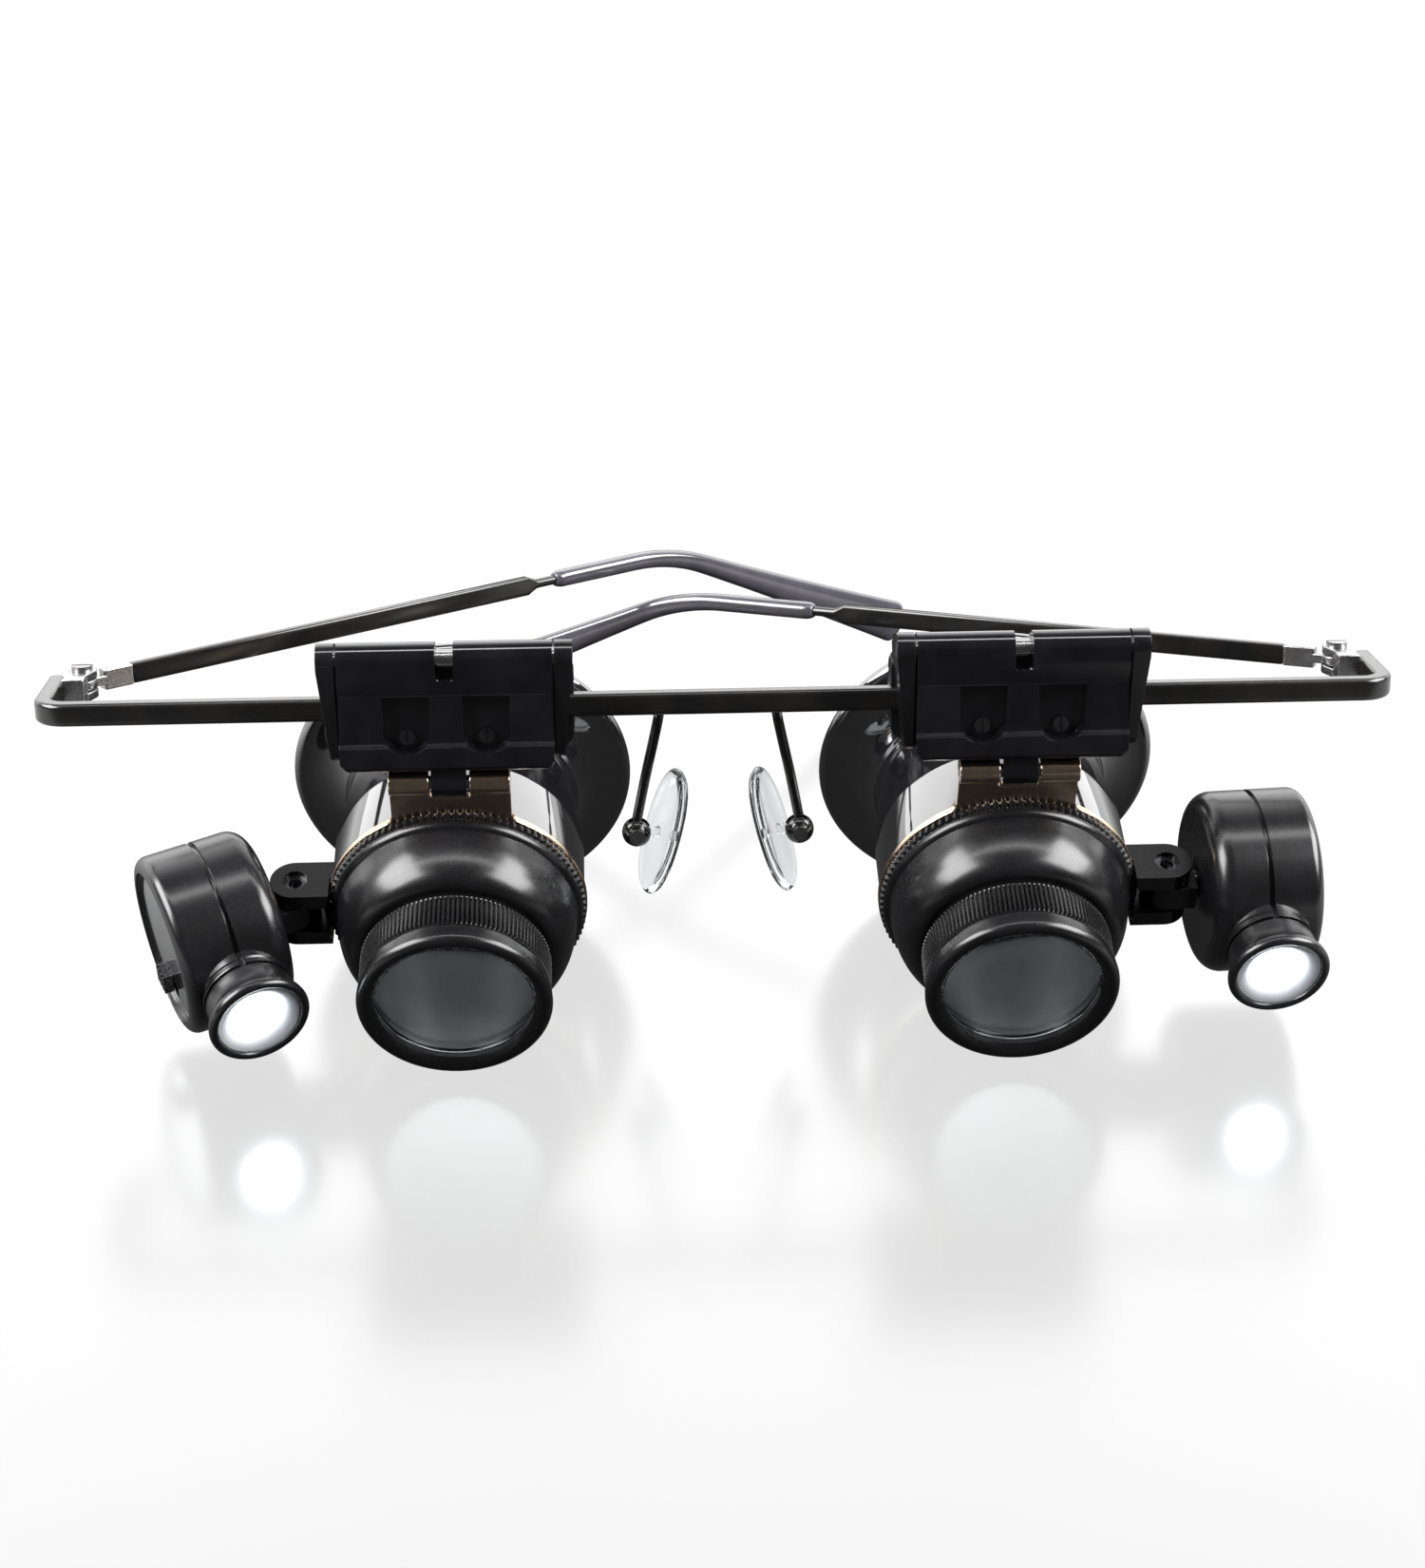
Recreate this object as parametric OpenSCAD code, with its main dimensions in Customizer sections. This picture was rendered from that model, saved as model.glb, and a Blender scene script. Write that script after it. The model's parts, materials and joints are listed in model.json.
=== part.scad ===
// Dental loupes: two magnifier tubes on a spectacle frame, each with its own LED lamp.
// The loupes stand on a table on their eyecups and toothed flanges, temples folded.
// X is across the face, +Y is towards the wearer, +Z is up. Millimetres.

/* [Spectacle frame] */
// Overall width of the front bar
frame_w = 140; // [132:1:148]
// Height of the bar section
bar_h = 2.4; // [2:0.1:2.6]
// Depth of the bar section
bar_t = 1.9; // [1.6:0.1:2]
// How far the bent ends reach back
end_len = 11; // [9:0.5:13]
// Slope of the frame, down towards the temples, on the table
frame_slope = 12; // [8:1:14]

/* [Temples] */
// Angle between the front bar and the left temple, as it lies
fold_left = 37; // [35:1:60]
// Angle between the front bar and the right temple, as it lies
fold_right = 29; // [28:1:60]
// Metal part of a temple, from the hinge to the sleeve
rod_len = 61.5; // [58:0.5:70]
// Straight part of the plastic sleeve
sleeve_len = 12; // [10:1:24]
// Length of the ear hook along its curve
hook_len = 47; // [36:1:48]
// Drop angle of the ear hook
hook_angle = 23; // [18:1:28]

/* [Loupe tubes] */
// Place of the left loupe along the bar
left_x = -27.6; // [-34:0.2:-27]
// Place of the right loupe along the bar
right_x = 30.4; // [26:0.2:34]
// Length of a loupe, eyecup rim to front rim
loupe_len = 36.4; // [35.8:0.2:38]
// Radius of the eyecup's flared rim
flare_r = 18.5; // [17:0.1:18.8]
// Radius of the eyecup's waist
waist_r = 12.2; // [12:0.1:12.4]
// Radius of the eyecup's straight body
body_r = 13.3; // [13.2:0.1:13.4]
// Radius of the toothed flange
flange_r = 13.5; // [13.5:0.1:13.7]
// Radius of the knurled focusing ring
cell_r = 10; // [9.9:0.05:10.2]
// Radius of the clear front opening
opening_r = 8.1; // [7.6:0.1:8.2]

/* [Clamps and flip covers] */
// Width of the sliding clamp
clamp_w = 25.5; // [24.5:0.1:26]
// Width of the flip-up cover
cover_w = 21.5; // [20:0.1:21.8]
// Width of the notch that shows the flip pin
notch_w = 1.8; // [1.4:0.1:2.4]

/* [Lamps] */
// Radius of the battery case
case_r = 9.6; // [9.5:0.1:10]
// Thickness of the battery case
case_w = 11.5; // [11:0.1:12]
// Inward turn of the left lamp, as it lies
lamp_turn_left = 24; // [0:1:30]
// Outward turn of the right lamp, as it lies
lamp_turn_right = 3; // [0:1:20]
// Radius of the lamp's hood
hood_r = 5.3; // [5:0.1:5.5]

/* [Hidden] */
$fn = 64;
LEFT = -1;
RIGHT = 1;
eps = 0.01;

// Clearances: a pin that turns in its bore, and faces that pass each other
pin_gap = 0.05;
face_gap = 0.3;

// Stations along a loupe's axis, measured forward from the eyecup's rim
waist_s = 5.5;
cone_end_s = 14;
ring_s = 20.7;
ring_t = 0.8;
flange_s = ring_s + ring_t;
flange_t = 1.8;
dome_end_s = 29.4;
cell_s = 29.8;
lip_t = 0.7;
wall = 1.2;

// The loupe stands on the eyecup's bead and the flange's front edge
bead_r = 0.9;
rim_edge_r = 0.5;
stand_run = flange_s + flange_t - bead_r;
stand_drop = (flare_r - bead_r) - flange_r;
loupe_tilt = atan(stand_drop / stand_run)
    + asin(bead_r / sqrt(stand_run * stand_run + stand_drop * stand_drop));
axis_h = bead_r * sin(loupe_tilt) + (flare_r - bead_r) * cos(loupe_tilt) + bead_r;

// Tilt pin above a loupe's axis, and its place below the bar
tilt_pin_s = ring_s + ring_t / 2;
tilt_pin_h = 17.2;
tilt_pin_r = 0.7;
tilt_y = -4.4;
tilt_z = -6.7;

// Flip pin in front of and above the bar
flip_y = -4.6;
flip_z = 6.3;
flip_pin_r = 0.8;
knuckle_r = 1.75;

// Bar's place above the table, from where the tilt pin lies
pin_y = -tilt_pin_s * cos(loupe_tilt) - tilt_pin_h * sin(loupe_tilt);
pin_z = axis_h - tilt_pin_s * sin(loupe_tilt) + tilt_pin_h * cos(loupe_tilt);
bar_y = pin_y - tilt_y * cos(frame_slope) - tilt_z * sin(frame_slope);
bar_z = pin_z + tilt_y * sin(frame_slope) - tilt_z * cos(frame_slope);

// Origin: middle of the footprint on the table
centre_shift = -10.77;

// Temple hinges
end_x = frame_w / 2 - bar_t / 2;
hinge_x = end_x - 2.4;
hinge_y = end_len + 0.5;
hinge_r = 1.5;
hinge_h = 3;
leaf_h = 1;
screw_r = 0.6;
temple_pitch = 1.2;
bend_r = 28;
tip_t = 2.1;

// Nose pads
nose_x = 8.6;
nose_y = 6;
nose_z = -16;
pad_len = 14;
pad_w = 7.6;
pad_t = 1.2;
pad_lean = 16;
pad_splay = 20;

// Lamps: the swivel pin beside the loupe and the case beyond it
swivel_x = 16.9;
swivel_s = 20.75;
swivel_r = 1.3;
clevis_r = 2.6;
clevis_h = 7;
tongue_h = 3;
case_gap = 3.4;
case_x = case_gap + case_w / 2;
cell_disc_r = 8;
cell_disc_t = 2;
nose_len = 14.4;
shaft_r = 1.4;

function turned_in(side) = side == LEFT ? lamp_turn_left : -lamp_turn_right;
function loupe_x(side) = side == LEFT ? left_x : right_x;
function fold(side) = side == LEFT ? fold_left : 180 - fold_right;
function pitch(side) = side == LEFT ? temple_pitch : -temple_pitch;
// Points of an elliptic arc about [cx, cy]
function arc(cx, cy, rx, ry, from, to, steps) =
    [for (i = [0 : steps]) let (a = from + (to - from) * i / steps) [cx + rx * cos(a), cy + ry * sin(a)]];

// ---- Frames of reference ----

module in_frame() translate([0, bar_y + centre_shift, bar_z]) rotate([-frame_slope, 0, 0]) children();

module in_loupe(side)
    translate([loupe_x(side), centre_shift, axis_h]) rotate([loupe_tilt, 0, 0]) children();

module in_temple(side)
    in_frame() translate([side * hinge_x, hinge_y, 0]) rotate([0, 0, fold(side)]) children();

// Lamp axes: origin on the swivel pin, +X outboard for both sides
module in_lamp(side)
    in_loupe(side) translate([side * swivel_x, -swivel_s, 0]) rotate([0, 0, side * -turned_in(side)])
        mirror([side == LEFT ? 1 : 0, 0, 0]) children();

// Turned solid about a loupe's axis from an outline of [radius, station] points
module turned(outline) rotate([90, 0, 0]) rotate_extrude() polygon(outline);

module tube(r_out, r_in, from_s, to_s)
    turned([[r_in, from_s], [r_out, from_s], [r_out, to_s], [r_in, to_s]]);

module disc_x(r, from_x, to_x) translate([from_x, 0, 0]) rotate([0, 90, 0]) cylinder(r = r, h = to_x - from_x);

module rod(a, b, r) {
    d = b - a;
    translate(a) rotate([0, acos(d[2] / norm(d)), atan2(d[1], d[0])]) cylinder(r = r, h = norm(d));
}

// Slab in the X-Z plane with four round corners, its front face at y = from_y
module slab(w, z0, z1, from_y, to_y, r) {
    depth = to_y - from_y;
    translate([-w / 2 + r, from_y, z0]) cube([w - 2 * r, depth, z1 - z0]);
    translate([-w / 2, from_y, z0 + r]) cube([w, depth, z1 - z0 - 2 * r]);
    for (x = [-w / 2 + r, w / 2 - r], z = [z0 + r, z1 - r])
        translate([x, to_y, z]) rotate([90, 0, 0]) cylinder(r = r, h = depth);
}

// ---- Spectacle frame ----

corner_r = 2.5;

module front_bar() color("#141414") in_frame() {
    straight = 2 * (end_x - corner_r);
    translate([-straight / 2, -bar_t / 2, -bar_h / 2]) cube([straight, bar_t, bar_h]);
    for (side = [LEFT, RIGHT]) translate([side * (end_x - corner_r), corner_r, 0]) {
        rotate([0, 0, side == LEFT ? 180 : 270]) rotate_extrude(angle = 90)
            translate([corner_r - bar_t / 2, -bar_h / 2]) square([bar_t, bar_h]);
        translate([side * corner_r - bar_t / 2, 0, -bar_h / 2]) cube([bar_t, end_len - corner_r, bar_h]);
    }
}

nose_r = 1.6;

module nose_arms() color("#1a1a1a") in_frame() {
    wire_r = 0.55;
    for (side = [LEFT, RIGHT]) {
        root = [side * 5.9, bar_t / 2, -0.5];
        knee = [side * 5.9, 1.6, -0.5];
        bend = [side * 6.3, 4, -3.2];
        foot = [side * nose_x, nose_y, nose_z + 1.2];
        rod(root, knee, wire_r);
        rod(knee, bend, wire_r);
        rod(bend, foot, wire_r);
        for (p = [knee, bend]) translate(p) sphere(r = wire_r + 0.05);
        translate([side * nose_x, nose_y, nose_z]) difference() {
            sphere(r = nose_r);
            // slot for the pad's tab, open towards the nose
            translate([side * 0.9, 0, 0]) mirror([side == RIGHT ? 1 : 0, 0, 0])
                translate([0, -0.6, -3]) cube([6, 1.2, 6]);
            rotate([90, 0, 0]) cylinder(r = 0.5, h = 6, center = true);
        }
    }
}

module nose_screws() color("silver") in_frame() for (side = [LEFT, RIGHT])
    translate([side * nose_x, nose_y, nose_z]) rotate([90, 0, 0]) {
        translate([0, 0, -1.5]) cylinder(r = 0.5, h = 3.1);
        translate([0, 0, 1.6]) cylinder(r = 0.8, h = 0.4);
    }

module nose_pad(side) color("lightgrey") in_frame() translate([side * nose_x, nose_y, nose_z])
    mirror([side == RIGHT ? 1 : 0, 0, 0]) {
        difference() {
            union() {
                rotate([90, 0, 0]) cylinder(r = 0.85, h = 0.8, center = true);
                translate([0, -0.4, -0.5]) cube([2.6, 0.8, 1]);
            }
            rotate([90, 0, 0]) cylinder(r = 0.5 + pin_gap, h = 3, center = true);
        }
        translate([2.75, 0, 0]) rotate([0, pad_lean, 0]) rotate([0, 0, pad_splay]) {
            // oval pad, flat towards the nose
            translate([-pad_t / 2, 0, 0]) rotate([0, 90, 0]) linear_extrude(pad_t) union() {
                for (z = [-1, 1]) translate([z * (pad_len - pad_w) / 2, 0]) circle(r = pad_w / 2);
                square([pad_len - pad_w, pad_w], center = true);
            }
        }
    }

module frame_hinges() color("silver") in_frame() for (side = [LEFT, RIGHT])
    mirror([side == LEFT ? 1 : 0, 0, 0]) difference() {
        union() {
            for (z = [-hinge_h / 2, leaf_h / 2 + 0.1]) {
                translate([hinge_x, hinge_y, z]) cylinder(r = hinge_r, h = hinge_h / 2 - leaf_h / 2 - 0.1);
                translate([hinge_x - 0.8, hinge_y - 2.2, z])
                    cube([0.8 + hinge_r - 0.2, 2.2, hinge_h / 2 - leaf_h / 2 - 0.1]);
            }
            translate([hinge_x - 0.8, hinge_y - 4.2, -hinge_h / 2])
                cube([end_x - bar_t / 2 - hinge_x + 0.8, 2.3, hinge_h]);
        }
        translate([hinge_x, hinge_y, -3]) cylinder(r = screw_r, h = 6);
    }

module hinge_screws() color("silver") in_frame() for (side = [LEFT, RIGHT])
    translate([side * hinge_x, hinge_y, 0]) {
        translate([0, 0, -hinge_h / 2]) cylinder(r = screw_r, h = hinge_h);
        difference() {
            translate([0, 0, hinge_h / 2]) cylinder(r = 1.1, h = 0.5);
            translate([-2, -0.15, hinge_h / 2 + 0.25]) cube([4, 0.3, 1]);
        }
    }

// ---- Temples ----

hinge_plate_len = 5.6;

module temple_hinge(side) color("silver") in_temple(side) difference() {
    union() {
        cylinder(r = hinge_r, h = leaf_h, center = true);
        translate([0, -0.7, -leaf_h / 2]) cube([3, 1.4, leaf_h]);
        rotate([0, -pitch(side), 0]) translate([1.9, -0.7, -1.1]) cube([hinge_plate_len - 1.9, 1.4, 2.2]);
    }
    cylinder(r = screw_r + pin_gap, h = 6, center = true);
}

module temple_rod(side) color("#161616") in_temple(side) rotate([0, -pitch(side), 0]) {
    neck = 3.4;
    translate([hinge_plate_len, -0.6, -1.1]) cube([rod_len - neck - hinge_plate_len, 1.2, 2.2]);
    translate([rod_len - neck, 0, 0]) rotate([0, 90, 0]) cylinder(r = 0.55, h = neck + 4);
}

// Centre and heading of the ear hook at a distance along it
function hook_point(d) =
    let (bend = min(d, bend_r * hook_angle * PI / 180), a = bend / bend_r * 180 / PI, rest = d - bend)
    [rod_len + sleeve_len + bend_r * sin(a) + rest * cos(a), -bend_r * (1 - cos(a)) - rest * sin(a), a];
// Height of the tip's oval section, wider towards the end
function tip_h(d) = 2 + 3.6 * pow(d / hook_len, 1.6);

// Edge of the tip at a distance along the hook, above (1) or below (-1) its centre line
function tip_edge(d, up) =
    let (p = hook_point(d), h = up * tip_h(d) / 2 * (d < hook_len ? 1 : 0.6))
    [p[0] + h * sin(p[2]), p[1] + h * cos(p[2])];

module temple_tip(side) color("#8b8790") in_temple(side) rotate([0, -pitch(side), 0]) difference() {
    steps = 12;
    stations = [for (i = [0 : steps]) hook_len * i / steps];
    translate([0, tip_t / 2, 0]) rotate([90, 0, 0]) linear_extrude(tip_t) polygon(concat(
        [[rod_len, -0.7], [rod_len, 0.7], [rod_len + 1, 1]],
        [for (d = stations) tip_edge(d, 1)],
        [for (i = [steps : -1 : 0]) tip_edge(stations[i], -1)],
        [[rod_len + 1, -1]]));
    translate([rod_len - 1, 0, 0]) rotate([0, 90, 0]) cylinder(r = 0.6, h = 5.5);
}

// ---- Clamps that slide on the bar ----

body_front = -2.5;
clamp_low = -4.6;
clamp_top = 6.2;

module bar_channel()
    cube([60, bar_t + 0.3, bar_h + 0.3], center = true);

module clamp_front(side) color("#101010") in_frame() translate([loupe_x(side), 0, 0]) difference() {
    union() {
        slab(clamp_w, clamp_low, clamp_top, body_front, 0, 1.6);
        for (x = [-1, 1]) mirror([x < 0 ? 1 : 0, 0, 0]) {
            cheek = clamp_w / 2 - cover_w / 2 - 0.2;
            translate([clamp_w / 2 - cheek, flip_y, flip_z]) rotate([0, 90, 0])
                cylinder(r = knuckle_r, h = cheek);
            translate([clamp_w / 2 - cheek, flip_y, clamp_low + 0.6])
                cube([cheek, -flip_y - 1.5, flip_z + 0.4 - clamp_low]);
        }
    }
    bar_channel();
    translate([-clamp_w, flip_y, flip_z]) rotate([0, 90, 0]) cylinder(r = flip_pin_r, h = 2 * clamp_w);
}

module clamp_back(side) color("#101010") in_frame() translate([loupe_x(side), 0, 0]) difference() {
    slab(clamp_w, clamp_low, 4.6, 0, 3.2, 1.6);
    bar_channel();
}

module flip_pin(side) color("silver") in_frame()
    translate([loupe_x(side) - clamp_w / 2, flip_y, flip_z]) rotate([0, 90, 0])
        cylinder(r = flip_pin_r, h = clamp_w);

// ---- Flip-up covers ----

cover_front = -6.1;
cover_back = -2.9;
lip_front = -6.6;
lip_top = -2.4;
lip_low = -5;
recess_x = 4;
recess_w = 4.8;
recess_top = 2.6;
recess_low = -3.2;
tab_gap = 4.1;
tab_w = 4.1;
neck_w = tab_gap + 2 * tab_w;

module flip_cover(side) color("#0e0e0e") in_frame() translate([loupe_x(side), 0, 0]) difference() {
    union() {
        translate([-cover_w / 2, flip_y, flip_z]) rotate([0, 90, 0]) cylinder(r = knuckle_r, h = cover_w);
        slab(cover_w, lip_low, flip_z, cover_front, cover_back, 1.2);
        slab(cover_w, lip_low, lip_top, lip_front, cover_front + 1, 0.8);
        // knuckle for the tilt pin
        translate([-tab_gap / 2 + 0.25, tilt_y, tilt_z]) {
            rotate([0, 90, 0]) cylinder(r = 1.45, h = tab_gap - 0.5);
            translate([0, -1.2, 0]) cube([tab_gap - 0.5, 2.4, 2.5]);
        }
    }
    translate([-notch_w / 2, -9, flip_z - 3]) cube([notch_w, 9, 6]);
    translate([-cover_w, flip_y, flip_z]) rotate([0, 90, 0]) cylinder(r = flip_pin_r + pin_gap, h = 2 * cover_w);
    translate([-cover_w, tilt_y, tilt_z]) rotate([0, 90, 0]) cylinder(r = tilt_pin_r + pin_gap, h = 2 * cover_w);
    for (x = [-recess_x, recess_x]) translate([x, 0, 0]) {
        cut_y = lip_front - 1;
        depth = cover_front + 1.3 - cut_y;
        translate([-recess_w / 2, cut_y, recess_low + recess_w / 2])
            cube([recess_w, depth, recess_top - recess_low - recess_w / 2]);
        translate([0, cut_y + depth, recess_low + recess_w / 2]) rotate([90, 0, 0])
            cylinder(r = recess_w / 2, h = depth);
    }
}

module cover_screws(side) color("#3a3a3c") in_frame() for (x = [-recess_x, recess_x])
    translate([loupe_x(side) + x, cover_front + 1.3, -1.6]) rotate([90, 0, 0]) difference() {
        cylinder(r = 0.8, h = 0.5);
        translate([-0.12, -1, 0.25]) cube([0.24, 2, 1]);
    }

// ---- Brackets and tilt pins ----

module bracket_plate(side) color("#b89b72") in_loupe(side) difference() {
    union() {
        tube(flange_r + 0.1, body_r - wall, ring_s, flange_s);
        translate([-neck_w / 2, -flange_s, body_r - wall + 0.4]) cube([neck_w, ring_t, 2.9]);
        for (x = [-tab_gap / 2 - tab_w, tab_gap / 2]) {
            translate([x, -tilt_pin_s, tilt_pin_h]) rotate([0, 90, 0]) cylinder(r = 1.35, h = tab_w);
            translate([x, -flange_s, tilt_pin_h - 2]) cube([tab_w, ring_t, 2]);
        }
    }
    translate([-neck_w, -tilt_pin_s, tilt_pin_h]) rotate([0, 90, 0])
        cylinder(r = tilt_pin_r, h = 2 * neck_w);
}

module tilt_pin(side) color("silver") in_loupe(side)
    translate([-neck_w / 2, -tilt_pin_s, tilt_pin_h]) rotate([0, 90, 0])
        cylinder(r = tilt_pin_r, h = neck_w);

// ---- Loupe tubes ----

bead_c = flare_r - bead_r;

module eyecup(side) color("#0c0c0e") in_loupe(side) turned(concat(
    // bead on the flared rim, then the trumpet and the cone outside
    arc(bead_c, bead_r, bead_r, bead_r, -150, 75, 14),
    arc(bead_c - 0.1, waist_s, bead_c - 0.1 - waist_r, waist_s - 2 * bead_r + 0.1, 270, 180, 12),
    [[body_r, cone_end_s], [body_r, ring_s], [body_r - wall, ring_s], [body_r - wall, cone_end_s]],
    // the same shape inside
    arc(bead_c - 0.3, waist_s + 1, bead_c - waist_r + wall - 0.3, waist_s - 0.3, 180, 262, 12)));

spigot_s = 15.5;
bore_r = 9.35;

module barrel(side) color("#101012") in_loupe(side) turned(concat(
    [[body_r - 2.6, spigot_s], [body_r - wall - 0.1, spigot_s], [body_r - wall - 0.1, flange_s],
     [flange_r, flange_s], [flange_r, flange_s + flange_t]],
    arc(10.5, flange_s + flange_t + 0.2, flange_r - 0.5 - 10.5, dome_end_s - flange_s - flange_t - 0.2,
        0, 90, 14),
    [[bore_r, dome_end_s], [bore_r, 23.2], [body_r - 2.6, 23.2]]));

module eye_lens(side) color("#cfd6d8", 0.6) in_loupe(side) turned(concat(
    [[0, 16.2], [10.7, 16.2], [10.7, 17.2]],
    [for (i = [1 : 10]) let (r = 10.7 * (1 - i / 10)) [r, 17.2 + 1.6 * (1 - pow(r / 10.7, 2))]]));

sleeve_r = bore_r - 0.1;
sleeve_in = 8.35;

module lens_sleeve(side) color("#18181a") in_loupe(side)
    tube(sleeve_r, sleeve_in, 24, loupe_len - lip_t - 0.3);

module front_lens(side) color("#cfd6d8", 0.6) in_loupe(side) turned(concat(
    [[0, 33.2], [sleeve_in - 0.05, 33.2], [sleeve_in - 0.05, 34.8]],
    [for (i = [1 : 10]) let (r = sleeve_in * (1 - i / 10)) [r, 34.8 + 1.1 * (1 - pow(r / sleeve_in, 2))]]));

module focus_ring(side) color("#101010") in_loupe(side) turned(concat(
    [[sleeve_r + 0.1, cell_s], [cell_r - 0.4, cell_s], [cell_r - 0.1, cell_s + 0.3],
     [cell_r - 0.1, cell_s + 4], [cell_r - 0.4, cell_s + 4.2], [cell_r - 0.4, cell_s + 4.5],
     [cell_r, cell_s + 4.8]],
    arc(cell_r - rim_edge_r, loupe_len - rim_edge_r, rim_edge_r, rim_edge_r, 0, 90, 6),
    [[opening_r + 0.9, loupe_len], [opening_r, loupe_len - lip_t],
     [sleeve_r + 0.1, loupe_len - lip_t]]));

// ---- Lamp brackets, pins and yokes ----

module lamp_bracket(side) color("#131313") in_loupe(side) difference() {
    union() for (z = [-clevis_h / 2, tongue_h / 2 + 0.2]) {
        leaf = clevis_h / 2 - tongue_h / 2 - 0.2;
        translate([side * swivel_x, -swivel_s, z]) cylinder(r = clevis_r, h = leaf);
        translate([side > 0 ? 12.5 : -swivel_x, -swivel_s - clevis_r, z])
            cube([swivel_x - 12.5, 2 * clevis_r, leaf]);
        // saddle on the eyecup's body
        translate([side > 0 ? 12 : -14.2, -ring_s + 0.1, -clevis_h / 2]) cube([2.2, 2.4, clevis_h]);
    }
    rotate([90, 0, 0]) cylinder(r = body_r, h = 60, center = true);
    translate([0, -flange_s + ring_t + 0.1, 0]) rotate([90, 0, 0]) cylinder(r = flange_r + 0.25, h = 12);
    translate([side * swivel_x, -swivel_s, 0]) cylinder(r = swivel_r, h = 20, center = true);
}

module swivel_pin(side) color("#2a2a2c") in_loupe(side)
    translate([side * swivel_x, -swivel_s, -clevis_h / 2]) difference() {
        cylinder(r = swivel_r, h = clevis_h - 0.6);
        translate([0, 0, clevis_h - 1.6]) cylinder(r = 0.7, h = 3);
    }

module lamp_yoke(side) color("#131313") in_lamp(side) difference() {
    union() {
        cylinder(r = 2.4, h = tongue_h, center = true);
        translate([0, -2.4, -tongue_h / 2]) cube([case_gap - 0.2, 4.8, tongue_h]);
        disc_x(shaft_r, case_gap - 0.3, case_gap + 1.5);
        disc_x(2.3, case_gap + 1.5, case_gap + 2);
    }
    cylinder(r = swivel_r + pin_gap, h = 20, center = true);
}

// ---- Lamps ----

case_wall = 1.2;
outer_face = case_gap + case_w;

module led_hole() translate([case_x, 0, 0]) rotate([90, 0, 0]) cylinder(r = 2, h = 12);

module case_inner(side) color("#121214") in_lamp(side) difference() {
    disc_x(case_r, case_gap, case_x);
    disc_x(case_r - case_wall, case_gap + case_wall, case_x + 1);
    disc_x(shaft_r + pin_gap, 0, case_x);
    led_hole();
}

module case_outer(side) color("#121214") in_lamp(side) difference() {
    disc_x(case_r, case_x, outer_face);
    disc_x(case_r - case_wall, case_x - 1, outer_face - 1.6);
    disc_x(case_r - case_wall - 0.3, case_x, outer_face + 1);
    led_hole();
}

module lamp_cover(side) color("#c8ccd0") in_lamp(side) difference() {
    disc_x(case_r - case_wall - 0.3, outer_face - 1.1, outer_face - 0.4);
    translate([outer_face - 3, -2.7, -5.4]) cube([4, 3.8, 1.6]);
}

module switch(side) color("#141414") in_lamp(side) translate([0, 0.2, -4.6]) {
    translate([outer_face - 0.35, -1.3, -1.2]) cube([1.1, 2.6, 2.4]);
    translate([outer_face - 1.5, -0.6, -0.6]) cube([1.2, 1.2, 1.2]);
}

module cells(side) color("silver") in_lamp(side)
    for (x = [case_gap + 2.6, case_gap + 2.7 + cell_disc_t])
        disc_x(cell_disc_r, x, x + cell_disc_t);

module lamp_hood(side) color("#121214") in_lamp(side) translate([case_x, 0, 0]) difference() {
    rotate([90, 0, 0]) rotate_extrude() polygon([
        [2.55, 7.5], [4.6, 7.5], [4.6, 10.2], [4.2, 10.4], [4.2, 10.8], [4.7, 11],
        [hood_r, 12.2], [hood_r, nose_len - 0.3], [hood_r - 0.3, nose_len],
        [hood_r - 0.7, nose_len], [2.9, nose_len - 2.4], [2.55, nose_len - 2.4]]);
    rotate([0, 90, 0]) cylinder(r = case_r, h = 30, center = true);
}

module led(side) color("white") in_lamp(side) translate([case_x, 0, 0]) rotate([90, 0, 0]) {
    rotate_extrude() polygon(concat([[0, 9.8], [2.5, 9.8], [2.5, nose_len - 2.4]],
        arc(0, nose_len - 2.4, 2.5, 2.1, 0, 90, 10)));
    for (x = [-1.27, 1.27]) translate([x, 0, 8.6]) cylinder(r = 0.3, h = 1.3);
}

// ---- The pieces ----

front_bar();
nose_arms();
nose_screws();
frame_hinges();
hinge_screws();
temple_hinge(LEFT);  // left_temple_hinge
temple_hinge(RIGHT);  // right_temple_hinge
temple_rod(LEFT);  // left_temple_rod
temple_rod(RIGHT);  // right_temple_rod
temple_tip(LEFT);  // left_temple_tip
temple_tip(RIGHT);  // right_temple_tip
nose_pad(LEFT);  // left_nose_pad
nose_pad(RIGHT);  // right_nose_pad
clamp_front(LEFT);  // left_clamp_front
clamp_front(RIGHT);  // right_clamp_front
clamp_back(LEFT);  // left_clamp_back
clamp_back(RIGHT);  // right_clamp_back
flip_pin(LEFT);  // left_flip_pin
flip_pin(RIGHT);  // right_flip_pin
flip_cover(LEFT);  // left_flip_cover
flip_cover(RIGHT);  // right_flip_cover
cover_screws(LEFT);  // left_cover_screws
cover_screws(RIGHT);  // right_cover_screws
bracket_plate(LEFT);  // left_bracket_plate
bracket_plate(RIGHT);  // right_bracket_plate
tilt_pin(LEFT);  // left_tilt_pin
tilt_pin(RIGHT);  // right_tilt_pin
eyecup(LEFT);  // left_eyecup
eyecup(RIGHT);  // right_eyecup
barrel(LEFT);  // left_barrel
barrel(RIGHT);  // right_barrel
eye_lens(LEFT);  // left_eye_lens
eye_lens(RIGHT);  // right_eye_lens
lens_sleeve(LEFT);  // left_lens_sleeve
lens_sleeve(RIGHT);  // right_lens_sleeve
front_lens(LEFT);  // left_front_lens
front_lens(RIGHT);  // right_front_lens
focus_ring(LEFT);  // left_focus_ring
focus_ring(RIGHT);  // right_focus_ring
lamp_bracket(LEFT);  // left_lamp_bracket
lamp_bracket(RIGHT);  // right_lamp_bracket
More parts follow.
